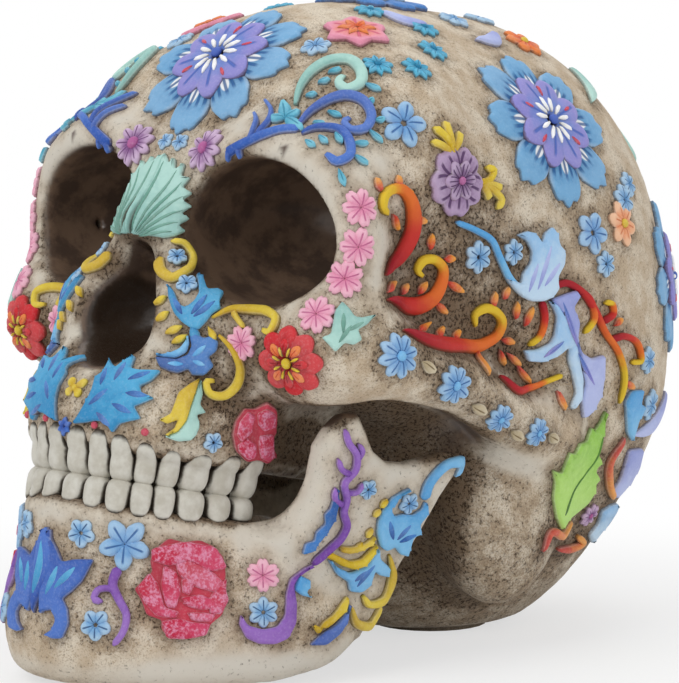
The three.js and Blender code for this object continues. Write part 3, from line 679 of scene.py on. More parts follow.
def cut_form(corners, mirrored):
    """A closed slab cut to an outline in pixels. Its levels are 1 on top, 0 at the edge and -1 below."""
    flat = round_off(np.array(corners, float)) * [1, -1]
    bm = bmesh.new()
    ring = bmesh.ops.create_circle(bm, cap_ends=True, segments=len(flat), radius=1)["verts"]
    for vert, (x, y) in zip(ring, flat):
        vert.co = (x, y, 0)
    bm.normal_update()
    bmesh.ops.inset_region(bm, faces=bm.faces, thickness=CUT_BEVEL, use_boundary=True)
    for axis in np.eye(3)[:2]:
        spread = flat @ axis[:2]
        for cut in np.arange(spread.min() + CUT_GRID / 2, spread.max(), CUT_GRID):
            shape = bm.verts[:] + bm.edges[:] + bm.faces[:]
            bmesh.ops.bisect_plane(bm, geom=shape, plane_co=axis * cut, plane_no=axis)
    for vert in bm.verts:
        vert.co.z = 0 if vert.is_boundary else 1
    close_below(bm)
    if mirrored:
        bmesh.ops.reverse_faces(bm, faces=bm.faces)
    mesh = to_mesh(bm, "cut_form")
    points = read_points(mesh)
    return mesh, points[:, :2] * [1, -1], points[:, 2]


def spline(points, shares):
    """A smooth run through points, at shares of its length."""
    points = np.asarray(points, float)
    gaps = np.linalg.norm(np.diff(points, axis=0), axis=1)
    knots = np.concatenate([[0], np.cumsum(gaps)])
    slopes = np.gradient(points, knots, axis=0)
    at = np.clip(shares, 0, 1) * knots[-1]
    i = np.clip(np.searchsorted(knots, at, side="right") - 1, 0, len(gaps) - 1)
    u = ((at - knots[i]) / gaps[i])[:, None]
    start = (1 + 2 * u) * (1 - u) ** 2 * points[i] + u * (1 - u) ** 2 * slopes[i] * gaps[i, None]
    end = u * u * (3 - 2 * u) * points[i + 1] + u * u * (u - 1) * slopes[i + 1] * gaps[i, None]
    return start + end


def petal_tip(shape, across):
    """How far a petal reaches, across its width."""
    wide = np.abs(across)
    if shape == "scallop":
        return 1 - 0.34 * wide ** 2.2 + 0.05 * np.cos(3 * math.pi * across)
    if shape == "heart":
        return 1 - 0.36 * wide ** 3 - 0.1 * np.exp(-(across / 0.25) ** 2)
    if shape == "point":
        return 1 - 0.62 * wide ** 1.1
    return 1 - 0.4 * wide ** 2.4


# Widths of a petal's root, depth below the bone, and widths along a flame and a curl
PETAL_ROOT = {"round": 0.32, "scallop": 0.5, "heart": 0.3, "point": 0.45}
SINK = 0.9
FLAME_SWELL = (0.1, 0.5, 0.8, 1, 0.98, 0.9, 0.72, 0.55, 0.5, 0.5, 0.2)
CURL_SWELL = (0.3, 0.5, 0.7, 0.9, 1, 1, 0.95, 0.9, 0.85, 0.8, 0.4)
BRUSH_RANDOM = np.random.default_rng(7)


class Relief:
    """Raised ornament on one bone: closed strips and beads, gathered into one painted piece."""

    def __init__(self, bone):
        self.bone = bone
        self.field = FIELDS[bone]
        self.parts = []

    def places(self, spots):
        """Photograph pixels, or places already on the bone, as places on the bone."""
        spots = list(spots)
        seen = [spot for spot in spots if len(spot) == 2]
        found = iter(())
        if seen:
            rays = sight(seen)
            found = iter(land(self.field, EYE + rays * (DISTANCE - CLEAR_REACH), rays))
        return np.array([next(found) if len(spot) == 2 else spot for spot in spots])

    def seat(self, spot):
        """A place on the bone with its directions across, up and out."""
        origin = settle(self.field, self.places([spot]), 2, 1.5)
        out = unit(lean(self.field, origin, 3))[0]
        guide = np.array([0, 0, 1]) if abs(out[2]) < 0.94 else np.array([0, 1, 0])
        across = unit(np.cross(guide, out))
        return origin[0], across, np.cross(out, across), out

    def add(self, form, points, height, low, along, across, crest, paint):
        self.parts.append((form, points, height, low, along, across, crest, paint))

    def strip(self, paint, steps, lanes, lay, rise, lift, edge=0.45):
        form, along, across, low = strip_form(steps, lanes)
        points = lay(along, across)
        side = 1 - np.abs(across) ** 3
        ends = 1 - np.abs(2 * along - 1) ** 6
        body = np.minimum(side, ends)
        height = lift + rise * (edge + (1 - edge) * body ** 0.6)
        height[low] = lift - SINK
        crest = np.where(low, 0, 0.3 + 0.7 * np.clip(body * 3, 0, 1))
        self.add(form, points, height, low, along, across, crest, paint)

    def petal(self, seat, turn, inner, outer, width, paint, shape="round", rise=1.5, lift=0.0):
        origin, right, up, _ = seat
        angle = math.radians(turn)
        run = right * math.cos(angle) + up * math.sin(angle)
        side = up * math.cos(angle) - right * math.sin(angle)
        root = PETAL_ROOT[shape]

        def lay(along, across):
            spread = root + (1 - root) * np.sin(math.pi / 2 * np.minimum(along / 0.7, 1))
            reach = inner + (outer - inner) * along * (1 - along + along * petal_tip(shape, across))
            return origin + reach[:, None] * run + (across * spread * width / 2)[:, None] * side

        grid = int(np.clip((outer - inner) * 1.3, 6, 14))
        self.strip(paint, grid, grid, lay, rise, lift)

    def flower(self, spot, radius, petals, paint, shape="round", turn=-90, inner=0.12, fill=1.0,
               rise=1.5, lift=0.0, hub=None, hub_size=0.2):
        seat = self.seat(spot)
        width = fill * 2 * math.pi * radius * 0.68 / petals
        for k in range(petals):
            angle = turn + 360 * k / petals
            self.petal(seat, angle, inner * radius, radius, width, paint, shape, rise, lift)
        if hub:
            self.bead(seat, hub_size * radius, hub, lift + rise * 0.8)
        return seat

    def bead(self, seat, radius, paint, lift=0.0, rise=0.8):
        form, ball = bead_form()
        origin, right, up, _ = seat
        points = origin + radius * (ball[:, :1] * right + ball[:, 1:2] * up)
        height = lift + rise * radius * ball[:, 2]
        none = np.zeros(len(ball))
        self.add(form, points, height, none < 0, none + 0.5, none, none + 1, paint)

    def ribbon(self, points, widths, paint, rise, lift, lanes=6):
        """A strip along a run of places, with its width given at shares of its length."""
        points = settle(self.field, self.places(points), 2, 1.5)
        length = np.linalg.norm(np.diff(points, axis=0), axis=1).sum()

        def lay(along, across):
            middle = spline(points, along)
            run = unit(spline(points, along + 0.01) - spline(points, along - 0.01))
            side = unit(np.cross(lean(self.field, middle, 2), run))
            return middle + side * (across * widths(along) / 2)[:, None]

        self.strip(paint, int(np.clip(length / 0.8, 7, 70)), lanes, lay, rise, lift, 0.4)

    def vine(self, points, width, paint, end=None, rise=1.7, lift=0.0):
        end = width * 0.7 if end is None else end

        def widths(along):
            near_end = np.minimum(along, 1 - along)
            return (width + (end - width) * along) * np.sqrt(np.clip(near_end / 0.03, 0.12, 1))

        self.ribbon(points, widths, paint, rise, lift)

    def leaf(self, root, tip, width, paint, bend=0.0, belly=0.45, rise=1.4, lift=0.0):
        start, end = settle(self.field, self.places([root, tip]), 2, 1.5)
        out = lean(self.field, (start + end)[None] / 2, 3)[0]
        middle = (start + end) / 2 + unit(np.cross(out, end - start)) * bend
        power = math.log(0.5) / math.log(belly)

        def widths(along):
            return width * np.sin(math.pi * np.clip(along, 0.02, 0.98) ** power) ** 0.85

        self.ribbon([start, middle, end], widths, paint, rise, lift, 8)

    def plate(self, outline, paint, rise=1.5, lift=0.0, mirrored=False):
        """A flat piece cut to an outline in the photograph, with a bevelled edge."""
        form, pixels, level = cut_form(outline, mirrored)
        points = self.places(pixels) * [-1 if mirrored else 1, 1, 1]
        corners = np.array(outline, float)
        run = corners[np.argmax(np.linalg.norm(corners - corners[0], axis=1))] - corners[0]
        along = np.clip((pixels - corners[0]) @ run / (run @ run), 0, 1)
        top, low = level > 0.5, level < -0.5
        height = np.where(low, lift - SINK, lift + np.where(top, rise, rise * 0.5))
        crest = np.where(low, 0, np.where(top, 1, 0.35))
        self.add(form, points, height, low, along, np.where(top, 0.5, 1), crest, paint)

    def strokes(self, pairs, width, paint, lift=1.25, mirrored=False):
        """Fine brush strokes on top of a plate."""
        for left, top, right, bottom in pairs:
            root, tip = self.places([(left, top), (right, bottom)]) * [-1 if mirrored else 1, 1, 1]
            self.leaf(root, tip, width, paint, belly=0.5, rise=0.45, lift=lift)

    def scroll(self, points, width, paint, swell, rise=1.8):
        """A curl that swells from a thin tail, with its widths as shares of the full width."""
        shares = np.linspace(0, 1, len(swell))
        self.ribbon(points, lambda along: width * np.interp(along, shares, swell), paint, rise, 0, 8)

    def drops(self, pairs, width, paint, belly=0.6, **more):
        for left, top, right, bottom in pairs:
            self.leaf((left, top), (right, bottom), width, paint, belly=belly, **more)

    def fan(self, root, tips, width, paint, bend=0.0, **more):
        for tip in tips:
            self.leaf(root, tip, width, paint, bend, **more)

    def build(self):
        """All parts on the bone: mesh forms, places, values and paints."""
        points = settle(self.field, np.concatenate([part[1] for part in self.parts]), 3, 1.2)
        out = unit(lean(self.field, points, 2.2))
        height = np.concatenate([part[2] for part in self.parts])
        self.points = points + out * height[:, None]
        self.low = np.concatenate([part[3] for part in self.parts])
        self.values = {
            "along": np.concatenate([part[4] for part in self.parts]),
            "across": np.concatenate([part[5] for part in self.parts]),
            "crest": np.concatenate([part[6] for part in self.parts]),
            "tint": np.concatenate([np.full(len(part[1]), BRUSH_RANDOM.random()) for part in self.parts]),
        }

    def piece(self, name, slot, nodes, mirrored=False):
        flip = np.array([-1 if mirrored else 1, 1, 1])
        paints = list(dict.fromkeys(part[7] for part in self.parts))
        bm = bmesh.new()
        numbers = []
        for part in self.parts:
            bm.from_mesh(part[0])
            numbers += [paints.index(part[7])] * len(part[0].polygons)
        if mirrored:
            bmesh.ops.reverse_faces(bm, faces=bm.faces)
        mesh = to_mesh(bm, name)
        write_points(mesh, to_world(self.points * flip))
        for key, values in self.values.items():
            write_values(mesh, key, values)
        for paint in paints:
            mesh.materials.append(PAINTS[paint])
        mesh.polygons.foreach_set("material_index", numbers)
        smooth_shade(mesh)
        piece = show(name, mesh)
        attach(piece, "root")
        if nodes:
            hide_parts(*nodes)
        return piece


RIM_POINTS = {"skull": [], "jaw": []}


def ornament(name, relief, slot, nodes=(), pair=True):
    """Finishes an ornament, and its mirror on the skull's right."""
    relief.build()
    rim = relief.points[relief.low]
    RIM_POINTS[relief.bone].append(rim)
    if not pair:
        relief.piece(f"{name}_relief", slot, nodes)
        return
    RIM_POINTS[relief.bone].append(rim * [-1, 1, 1])
    for side, mirrored in (("left", False), ("right", True)):
        relief.piece(f"{name}_relief_{side}", slot, [f"{node}_{side}" for node in nodes], mirrored)


# Large flowers: sky-blue petals round a raised violet heart
HEART_SHARE = 0.6
STAMENS = 11
STAMEN = 0.1, 0.29, 0.055
RED_DASH = 0.3, 0.44, 0.045
DASH_TURN = 16


def big_flower(relief, spot, radius, turn=-90.0):
    """Petals, a heart, white stamens and red dashes, the last two as shares of the radius."""
    seat = relief.flower(spot, radius, 8, "sky", "scallop", turn, inner=0.3, fill=0.95, rise=1.5)
    relief.flower(spot, radius * HEART_SHARE, 8, "violet", "round", turn + 22.5, fill=1.1, rise=1.3, lift=1.3)
    for k in range(STAMENS):
        angle = turn + 360 / STAMENS * k
        stamen = [radius * share for share in STAMEN]
        relief.petal(seat, angle, *stamen, "white", rise=0.8, lift=2.3)
        if k % 2:
            dash = [radius * share for share in RED_DASH]
            relief.petal(seat, angle + DASH_TURN, *dash, "red_dash", rise=0.5, lift=2.3)
    relief.bead(seat, radius * 0.06, "violet", 2.6)


forehead = Relief("skull")
big_flower(forehead, bearing(0, 56), 21.5)
ornament("forehead_flower", forehead, "sky_blue", ["forehead_flower", "forehead_flower_heart"], False)

parietal = Relief("skull")
big_flower(parietal, bearing(113, 42), 21, -97)
ornament("parietal_flower", parietal, "sky_blue", ["parietal_flower", "parietal_flower_heart"])

occipital = Relief("skull")
big_flower(occipital, bearing(150, 4), 18.5, -85)
ornament("occipital_flower", occipital, "sky_blue", ["occipital_flower", "occipital_flower_heart"])

# Brow scrolls, by their pixels in the photograph
BROW_STEM = [(228, 153), (243, 145), (265, 136), (285, 131), (300, 131)]
BROW_TWIGS = [
    [(241, 146), (252, 140), (257, 127), (256, 115)],
    [(258, 138), (268, 126), (272, 111), (266, 101)],
    [(232, 151), (230, 159)],
    [(241, 148), (243, 156)],
]
UPPER_SCROLL = [
    (297, 130), (313, 112), (330, 101), (348, 97), (364, 103), (371, 117), (364, 130), (350, 132),
    (344, 124), (350, 119),
]
LOWER_SCROLL = [(302, 135), (319, 130), (339, 132), (349, 145), (348, 158), (337, 163), (326, 155)]
BROW_SPRIG = (286, 121)
BROW_SPRIG_TIPS = [(284, 101), (269, 120), (301, 112), (304, 132)]
BROW_DROPS = [
    (306, 98, 318, 95), (318, 85, 331, 81), (328, 75, 342, 71), (312, 125, 326, 126),
    (327, 113, 342, 118), (305, 142, 316, 148), (318, 138, 328, 145), (334, 135, 342, 145),
    (338, 169, 345, 187), (364, 86, 381, 92), (366, 106, 374, 100), (373, 122, 385, 120),
    (367, 131, 382, 144), (351, 146, 368, 145), (352, 157, 367, 166),
]

brow = Relief("skull")
brow.vine(BROW_STEM, 2.3, "royal", 1.7)
for twig in BROW_TWIGS:
    brow.vine(twig, 1.6, "royal", 0.8)
brow.scroll(UPPER_SCROLL, 2.5, "royal", CURL_SWELL)
brow.scroll(LOWER_SCROLL, 2.4, "royal", CURL_SWELL)
brow.fan(BROW_SPRIG, BROW_SPRIG_TIPS, 3.2, "teal_drop")
brow.drops(BROW_DROPS, 1.7, "teal_drop")
ornament("brow_scroll", brow, "royal_blue", ["brow_scroll_upper", "brow_scroll_lower"])

MINT_SCROLL = [(296, 106), (302, 88), (313, 73), (335, 62), (348, 62), (361, 73), (359, 86), (347, 91),
               (339, 84), (344, 77)]
mint = Relief("skull")
mint.scroll(MINT_SCROLL, 3.0, "mint", CURL_SWELL)
ornament("mint_scroll", mint, "mint", ["mint_scroll"])

# Small flowers of the brow and crown
BROW_DAISY = (207, 150)
BROW_STAR = (181, 143)
CROWN_STAR = (316, 48)
CYAN_DAISIES = [(370, 13), (423, 30), (432, 52), (377, 67), (416, 70)]
CROWN_PERIWINKLE = (403, 124)

daisies = Relief("skull")
daisies.flower(BROW_DAISY, 5.6, 9, "lilac", turn=-80, fill=0.95, hub="magenta", hub_size=0.26)
daisies.flower(BROW_STAR, 2.3, 5, "star", rise=0.9)
daisies.flower(CROWN_STAR, 3.7, 6, "star", rise=1.1)
for spot in CYAN_DAISIES:
    daisies.flower(spot, 3.9, 8, "cyan", "point", rise=1.2, hub="cyan")
daisies.flower(CROWN_PERIWINKLE, 5.8, 5, "periwinkle", "round", -75, fill=0.8, rise=1.3)
ornament("crown_daisies", daisies, "sky_blue")

crown = Relief("skull")
CROWN_SPOT = bearing(49, 64)
crown.flower(CROWN_SPOT, 8.6, 6, "coral", "point", -35, fill=1.2, rise=1.5)
crown.flower(CROWN_SPOT, 4.4, 6, "orange", "point", -5, fill=0.7, rise=0.9, lift=1.2)
ornament("crown_flower", crown, "pink", ["crown_flower"])

# Temple: a purple flower with yellow sprigs
SPRIG_TOP = [[(450, 157), (446, 142), (432, 128)], [(450, 150), (447, 135), (442, 122)],
             [(450, 152), (456, 142), (457, 132)], [(449, 154), (440, 146), (430, 142)]]
SPRIG_SIDE = [[(476, 183), (488, 179), (491, 171), (484, 168)], [(478, 183), (490, 185), (500, 189)],
              [(478, 184), (491, 191), (499, 201), (495, 209)], [(480, 186), (485, 194), (487, 200)]]

temple = Relief("skull")
TEMPLE_SPOT = bearing(71, 31)
temple.flower(TEMPLE_SPOT, 8.4, 5, "purple", "heart", -95, fill=1.12, rise=1.6)
temple.flower(TEMPLE_SPOT, 4.9, 6, "purple", "round", -60, fill=0.9, rise=1.1, lift=1.2, hub="magenta")
for sprig in SPRIG_TOP + SPRIG_SIDE:
    temple.vine(sprig, 1.5, "yellow", 1.9)
ornament("temple_flower", temple, "purple", ["temple_flower"])

# Temple flames: scrolls that run from crimson to yellow, with sparks round them
FLAME_UPPER = [
    (384, 275), (400, 253), (411, 231), (412, 213), (408, 198), (399, 189), (389, 190), (381, 198),
    (380, 208), (386, 214),
]
FLAME_MIDDLE = [
    (386, 300), (401, 306), (419, 305), (432, 297), (440, 282), (441, 267), (432, 259), (421, 261),
    (416, 270), (422, 276),
]
FLAME_LOWER = [
    (402, 331), (430, 343), (460, 347), (483, 343), (496, 333), (500, 322), (494, 311), (482, 308),
    (473, 314), (474, 326),
]
SPARKS = [
    (379, 192, 374, 178), (398, 188, 396, 175), (406, 198, 410, 189), (391, 214, 396, 230),
    (414, 219, 426, 221), (429, 250, 431, 233), (386, 293, 394, 281), (400, 295, 407, 283),
    (417, 294, 426, 281), (443, 259, 454, 258), (445, 281, 463, 292), (434, 302, 446, 314),
    (418, 333, 430, 322), (438, 340, 442, 326), (453, 342, 458, 329), (491, 307, 494, 291),
    (502, 299, 507, 286), (514, 319, 516, 301), (523, 326, 532, 306), (500, 339, 514, 342),
]
flames = Relief("skull")
for flame in (FLAME_UPPER, FLAME_MIDDLE, FLAME_LOWER):
    flames.scroll(flame, 4.4, "flame", FLAME_SWELL, 1.9)
flames.drops(SPARKS, 2.0, "ember", belly=0.5)
ornament("temple_flames", flames, "flame", ["flame_upper", "flame_middle", "flame_lower"])

# Side of the head: a pale tulip on its stem, and a lily that hangs below it
TULIP_STEM = [(455, 222), (476, 231), (490, 240), (498, 257), (509, 279), (522, 292), (536, 297)]
TULIP = [
    (515, 235), (525, 231), (534, 234), (540, 243), (543, 233), (550, 227), (555, 234), (557, 244),
    (563, 253), (562, 265), (555, 278), (557, 288), (552, 296), (542, 301), (529, 301), (519, 296),
    (510, 287), (504, 278), (511, 279), (519, 283), (521, 273), (529, 262), (530, 251), (525, 241),
]
TULIP_STROKES = [(533, 290, 547, 245), (540, 286, 556, 262), (524, 292, 534, 262)]
LILY_LEFT = [
    (546, 300), (551, 307), (555, 317), (552, 336), (547, 343), (534, 349), (522, 350), (526, 361),
    (541, 362), (556, 356), (567, 347), (566, 359), (571, 377), (574, 392), (568, 408), (573, 410),
    (579, 401), (580, 392), (581, 378), (578, 362), (575, 345), (569, 330), (563, 316), (556, 304),
]
LILY_RIGHT = [
    (549, 299), (562, 294), (574, 290), (578, 296), (571, 307), (577, 321), (575, 340), (580, 352),
    (589, 358), (602, 354), (602, 370), (599, 394), (589, 412), (581, 419), (579, 400), (583, 382),
    (578, 360), (572, 338), (563, 316),
]
LILY_STROKES = [(558, 300, 573, 345), (574, 352, 590, 385), (560, 340, 540, 356)]
SIDE_STARS = [((477, 257), 3.9), ((512, 252), 3.1), ((604, 264), 3.2), ((626, 185), 3.2), ((646, 360), 3.4)]
SIDE_PERIWINKLE = (591, 233)
SIDE_ORANGE = (621, 224)

tulip = Relief("skull")
tulip.vine(TULIP_STEM, 1.4, "sky_leaf", 2.2, rise=1.3)
tulip.plate(TULIP, "tulip_blue", 1.6)
tulip.strokes(TULIP_STROKES, 1.5, "lavender", 1.35)
ornament("side_tulip", tulip, "sky_blue", ["side_tulip"])

lily = Relief("skull")
lily.plate(LILY_LEFT, "tulip_blue", 1.5)
lily.plate(LILY_RIGHT, "lavender", 1.7)
lily.strokes(LILY_STROKES, 1.3, "violet", 1.4)
ornament("side_lily", lily, "violet", ["side_lily"])

side = Relief("skull")
for spot, radius in SIDE_STARS:
    side.flower(spot, radius, 6, "star", rise=1.2)
side.flower(SIDE_PERIWINKLE, 5.2, 5, "periwinkle", turn=-85, fill=0.85, rise=1.3)
side.flower(SIDE_ORANGE, 5.6, 6, "peach", turn=100, fill=0.9, rise=1.2, hub="yellow")
ornament("side_flowers", side, "sky_blue")

# Red branches behind the temple
RED_BRANCHES = [
    [(548, 288), (565, 283), (577, 289), (590, 305), (603, 332), (616, 352), (622, 375), (618, 403)],
    [(577, 289), (588, 300), (592, 318), (582, 333)],
    [(600, 322), (611, 312), (609, 303), (603, 303)],
    [(608, 340), (622, 336), (636, 346), (638, 360), (629, 362)],
    [(498, 377), (512, 390), (527, 390), (547, 381), (561, 375)],
    [(540, 300), (543, 318), (538, 336), (527, 345)],
]
RED_DROPS = [(474, 348, 488, 376), (498, 349, 503, 366), (515, 364, 530, 385), (555, 391, 564, 411),
             (612, 326, 620, 318), (622, 380, 632, 388), (505, 352, 520, 366)]

branches = Relief("skull")
for branch in RED_BRANCHES:
    branches.vine(branch, 1.8, "flame", 1.3)
branches.drops(RED_DROPS, 1.9, "ember")
ornament("red_branches", branches, "flame")

# Cheek: a red flower, pink blossoms up the eye bar, and a mint leaf
CHEEK_SPOT = (290, 362)
PINKS = [(317, 315), (345, 279), (358, 247), (360, 208)]
LILAC_PINK = (243, 343)
IVY = [
    (342, 302), (348, 308), (354, 317), (361, 318), (374, 315), (366, 325), (357, 330), (361, 340),
    (353, 345), (344, 343), (335, 352), (328, 344), (322, 338), (331, 334), (333, 323), (335, 312),
]
IVY_STROKES = [(338, 343, 350, 326), (346, 332, 362, 323), (342, 334, 343, 314)]

cheek = Relief("skull")
cheek_seat = cheek.flower(
    CHEEK_SPOT, 9.0, 8, "red", turn=90, fill=1.15, rise=1.8, hub="yellow", hub_size=0.13,
)
for k in range(8):
    cheek.petal(cheek_seat, 90 + 45 * k, 2.2, 5.4, 2.0, "orange" if k % 2 else "red", rise=0.8, lift=1.5)
    cheek.petal(cheek_seat, 112 + 45 * k, 1.6, 3.6, 0.6, "yellow", rise=0.6, lift=1.7)
for spot in PINKS:
    cheek.flower(spot, 4.6, 7, "pink", "heart", turn=-80, inner=0.02, fill=1.0, rise=1.3)
cheek.flower(LILAC_PINK, 4.2, 7, "pink", "heart", inner=0.02, rise=1.2)
cheek.plate(IVY, "mint")
cheek.strokes(IVY_STROKES, 1.0, "mint_vein")
ornament("cheek_flower", cheek, "red", ["cheek_flower"])

# Daisies and bone leaves along the cheek arch
ARCH_DAISIES = [((399, 356), 5.6), ((454, 385), 5.0), ((499, 418), 3.7), ((536, 432), 3.6)]
ARCH_LEAVES = [(420, 362, 434, 372), (471, 404, 486, 412), (510, 430, 522, 437), (547, 435, 556, 440)]

arch = Relief("skull")
for spot, radius in ARCH_DAISIES:
    arch.flower(spot, radius, 8, "periwinkle", turn=-80, fill=1.0, rise=1.3, hub="sky_leaf")
arch.drops(ARCH_LEAVES, 2.6, "bone_leaf", belly=0.5)
ornament("arch_daisies", arch, "sky_blue", ["arch_daisy_front", "arch_daisy_middle"])

# Nose leaf on the middle line, alike on both sides
NOSE_LEAF = [
    (131, 232), (153, 236), (165, 239), (176, 237), (184, 232), (178, 226), (188, 219), (181, 214),
    (191, 206), (183, 201), (193, 193), (184, 188), (192, 178), (183, 177), (187, 164), (177, 171),
    (177, 159), (171, 165), (168, 155),
]
NOSE_VEINS = [
    (136, 230, 168, 164), (138, 230, 181, 172), (139, 231, 185, 184), (140, 232, 184, 198),
    (141, 233, 181, 212), (142, 234, 177, 224), (143, 234, 172, 234),
]

nose = Relief("skull")
for mirrored in (False, True):
    nose.plate(NOSE_LEAF, "mint", 1.6, mirrored=mirrored)
    nose.strokes(NOSE_VEINS, 0.8, "mint_vein", 1.4, mirrored)
nose_root, nose_top = nose.places([NOSE_LEAF[0], NOSE_LEAF[-1]]) * [0, 1, 1]
nose.leaf(nose_root, nose_top, 2.4, "mint", belly=0.6, rise=2.0)
ornament("nose_leaf", nose, "mint", ["nose_leaf"], False)

# Face below the eyes: bells, curls and dashes beside the nose
YELLOW_RING = [(160, 258), (163, 272), (176, 279), (188, 271), (190, 256), (182, 244), (171, 242)]
FACE_STARS = [((177, 258), 2.3), ((187, 285), 2.5), ((212, 442), 2.4)]
BELL = [
    (169, 285), (175, 292), (180, 305), (187, 308), (195, 301), (199, 294), (198, 286), (195, 276),
    (202, 281), (207, 292), (216, 292), (223, 296), (219, 303), (221, 310), (213, 314), (206, 323),
    (199, 330), (192, 329), (183, 323), (175, 314), (170, 299),
]
BELL_STROKES = [(192, 316, 207, 298), (194, 318, 215, 304), (184, 316, 176, 300)]
YELLOW_DASHES = [(157, 306, 168, 297), (158, 322, 170, 312), (166, 334, 183, 326), (172, 344, 188, 335)]
EYE_SCROLL = [(212, 318), (230, 311), (252, 312), (268, 313), (278, 322), (273, 332), (264, 330)]
EYE_TWIG = [(232, 312), (240, 322), (246, 328)]
YELLOW_DROP = (208, 326, 216, 341)
COBALT_FLOWER = [
    (156, 358), (160, 368), (169, 372), (178, 374), (188, 370), (192, 376), (204, 376), (214, 366),
    (209, 357), (217, 351), (219, 342), (212, 336), (204, 338), (196, 333), (190, 337), (192, 346),
    (188, 355), (177, 360), (166, 359),
]
COBALT_CRESCENT = [
    (156, 357), (166, 359), (177, 359), (187, 353), (190, 344), (189, 335), (186, 341), (180, 349),
    (170, 354),
]
COBALT_STROKES = [(192, 358, 207, 345), (192, 362, 205, 366), (184, 366, 168, 366)]
NOSE_SCROLL = [
    (219, 335), (233, 349), (241, 367), (236, 385), (222, 396), (208, 393), (206, 382), (214, 381),
]
LEAF_MINT = [
    (200, 379), (202, 394), (199, 405), (205, 413), (196, 415), (198, 423), (196, 434), (190, 440),
    (177, 441), (164, 436), (177, 431), (185, 420), (189, 407), (194, 393),
]
LEAF_YELLOW = [
    (200, 378), (190, 384), (178, 393), (173, 407), (170, 414), (159, 420), (167, 424), (177, 420),
    (174, 428), (164, 435), (177, 432), (186, 421), (190, 407), (195, 393),
]
RED_DOTS = [(95, 425), (145, 432)]
ROSEBUD = [
    (231, 434), (234, 421), (243, 408), (254, 408), (267, 401), (276, 407), (274, 425), (270, 441),
    (273, 456), (265, 463), (256, 459), (245, 461), (234, 450),
]
BUD_PETALS = [
    [(233, 434), (236, 421), (245, 410), (252, 414), (247, 432), (238, 441)],
    [(254, 411), (266, 404), (273, 410), (271, 425), (260, 430), (254, 423)],
    [(234, 443), (243, 436), (252, 443), (251, 456), (244, 458), (235, 450)],
    [(255, 434), (268, 432), (268, 443), (270, 455), (264, 460), (256, 456), (254, 445)],
]

face = Relief("skull")
face.vine(YELLOW_RING, 2.8, "yellow", 1.4)
for spot, radius in FACE_STARS:
    face.flower(spot, radius, 5, "star", rise=1.0, lift=0.3)
face.plate(BELL, "teal", 1.6)
face.strokes(BELL_STROKES, 1.4, "cobalt", 1.35)
face.leaf((192, 326), (199, 346), 2.4, "teal")
face.drops(YELLOW_DASHES, 1.9, "yellow", belly=0.5)
face.scroll(EYE_SCROLL, 2.1, "yellow", CURL_SWELL)
face.vine(EYE_TWIG, 1.5, "yellow", 1.2)
face.drops([YELLOW_DROP], 1.8, "yellow")
face.plate(COBALT_FLOWER, "cobalt")
face.plate(COBALT_CRESCENT, "sky_leaf", 1.8)
face.strokes(COBALT_STROKES, 1.3, "sky_leaf")
face.scroll(NOSE_SCROLL, 2.3, "yellow", CURL_SWELL)
face.plate(LEAF_MINT, "mint")
face.plate(LEAF_YELLOW, "yellow", 1.7)
for spot in RED_DOTS:
    face.bead(face.seat(spot), 0.9, "red_dash", 0.2)
face.plate(ROSEBUD, "rose", 1.5)
for petal in BUD_PETALS:
    face.plate(petal, "rose_petal", 1.1, 1.0)
ornament("face_vines", face, "teal")

# Moustache leaves under the nose, and a small butterfly between them
MOUSTACHE = [
    (75, 424), (82, 413), (89, 401), (94, 391), (97, 379), (105, 374), (111, 363), (117, 370), (125, 364),
    (137, 357), (132, 370), (143, 372), (162, 372), (152, 382), (141, 387), (142, 393), (155, 399),
    (143, 404), (135, 407), (142, 419), (128, 422), (121, 424), (114, 433), (107, 422), (97, 421),
    (86, 423),
]
MOUSTACHE_STROKES = [
    (104, 388, 110, 372), (117, 384, 129, 366), (130, 383, 153, 375), (128, 395, 149, 398),
    (115, 405, 134, 414), (92, 407, 112, 391), (100, 413, 114, 427),
]
moustache = Relief("skull")
moustache.plate(MOUSTACHE, "teal", 1.6)
moustache.strokes(MOUSTACHE_STROKES, 1.5, "cobalt", 1.35)
ornament("moustache_leaf", moustache, "teal", ["moustache_leaf"])

BUTTERFLY = bearing(0, -8)
butterfly = Relief("skull")
for turn, reach in ((35, 3.6), (145, 3.6), (-35, 3.0), (-145, 3.0)):
    butterfly.petal(butterfly.seat(BUTTERFLY), turn, 0.4, reach, 2.4, "yellow", rise=0.9)
butterfly.bead(butterfly.seat(BUTTERFLY), 0.8, "yellow", 0.4)
butterfly.flower(bearing(0, -13), 2.2, 6, "royal", "point", rise=1.0)
ornament("nose_butterfly", butterfly, "royal_blue", (), False)

# Chin lily on the middle line, alike on both sides
CHIN_LILY = [
    (44, 526), (52, 536), (59, 549), (64, 562), (76, 559), (95, 559), (89, 571), (83, 582), (74, 591),
    (64, 599), (69, 609), (70, 624), (64, 638), (54, 638), (47, 634), (54, 629), (58, 620), (54, 610),
    (46, 611), (42, 614),
]
CHIN_STROKES = [(58, 590, 79, 567), (50, 596, 62, 566)]

chin = Relief("jaw")
for mirrored in (False, True):
    chin.plate(CHIN_LILY, "royal", 1.7, mirrored=mirrored)
    chin.strokes(CHIN_STROKES, 1.8, "teal", 1.45, mirrored)
chin_foot, chin_top = chin.places([CHIN_LILY[-1], CHIN_LILY[0]]) * [0, 1, 1]
chin.leaf(chin_foot, chin_top, 6.5, "royal", belly=0.6, rise=2.2)
spine_start = chin_foot * 0.8 + chin_top * 0.2
spine_end = chin_foot * 0.15 + chin_top * 0.85
chin.leaf(spine_start, spine_end, 2.4, "teal", rise=0.5, lift=1.9)
ornament("chin_lily", chin, "royal_blue", ["chin_lily"], False)

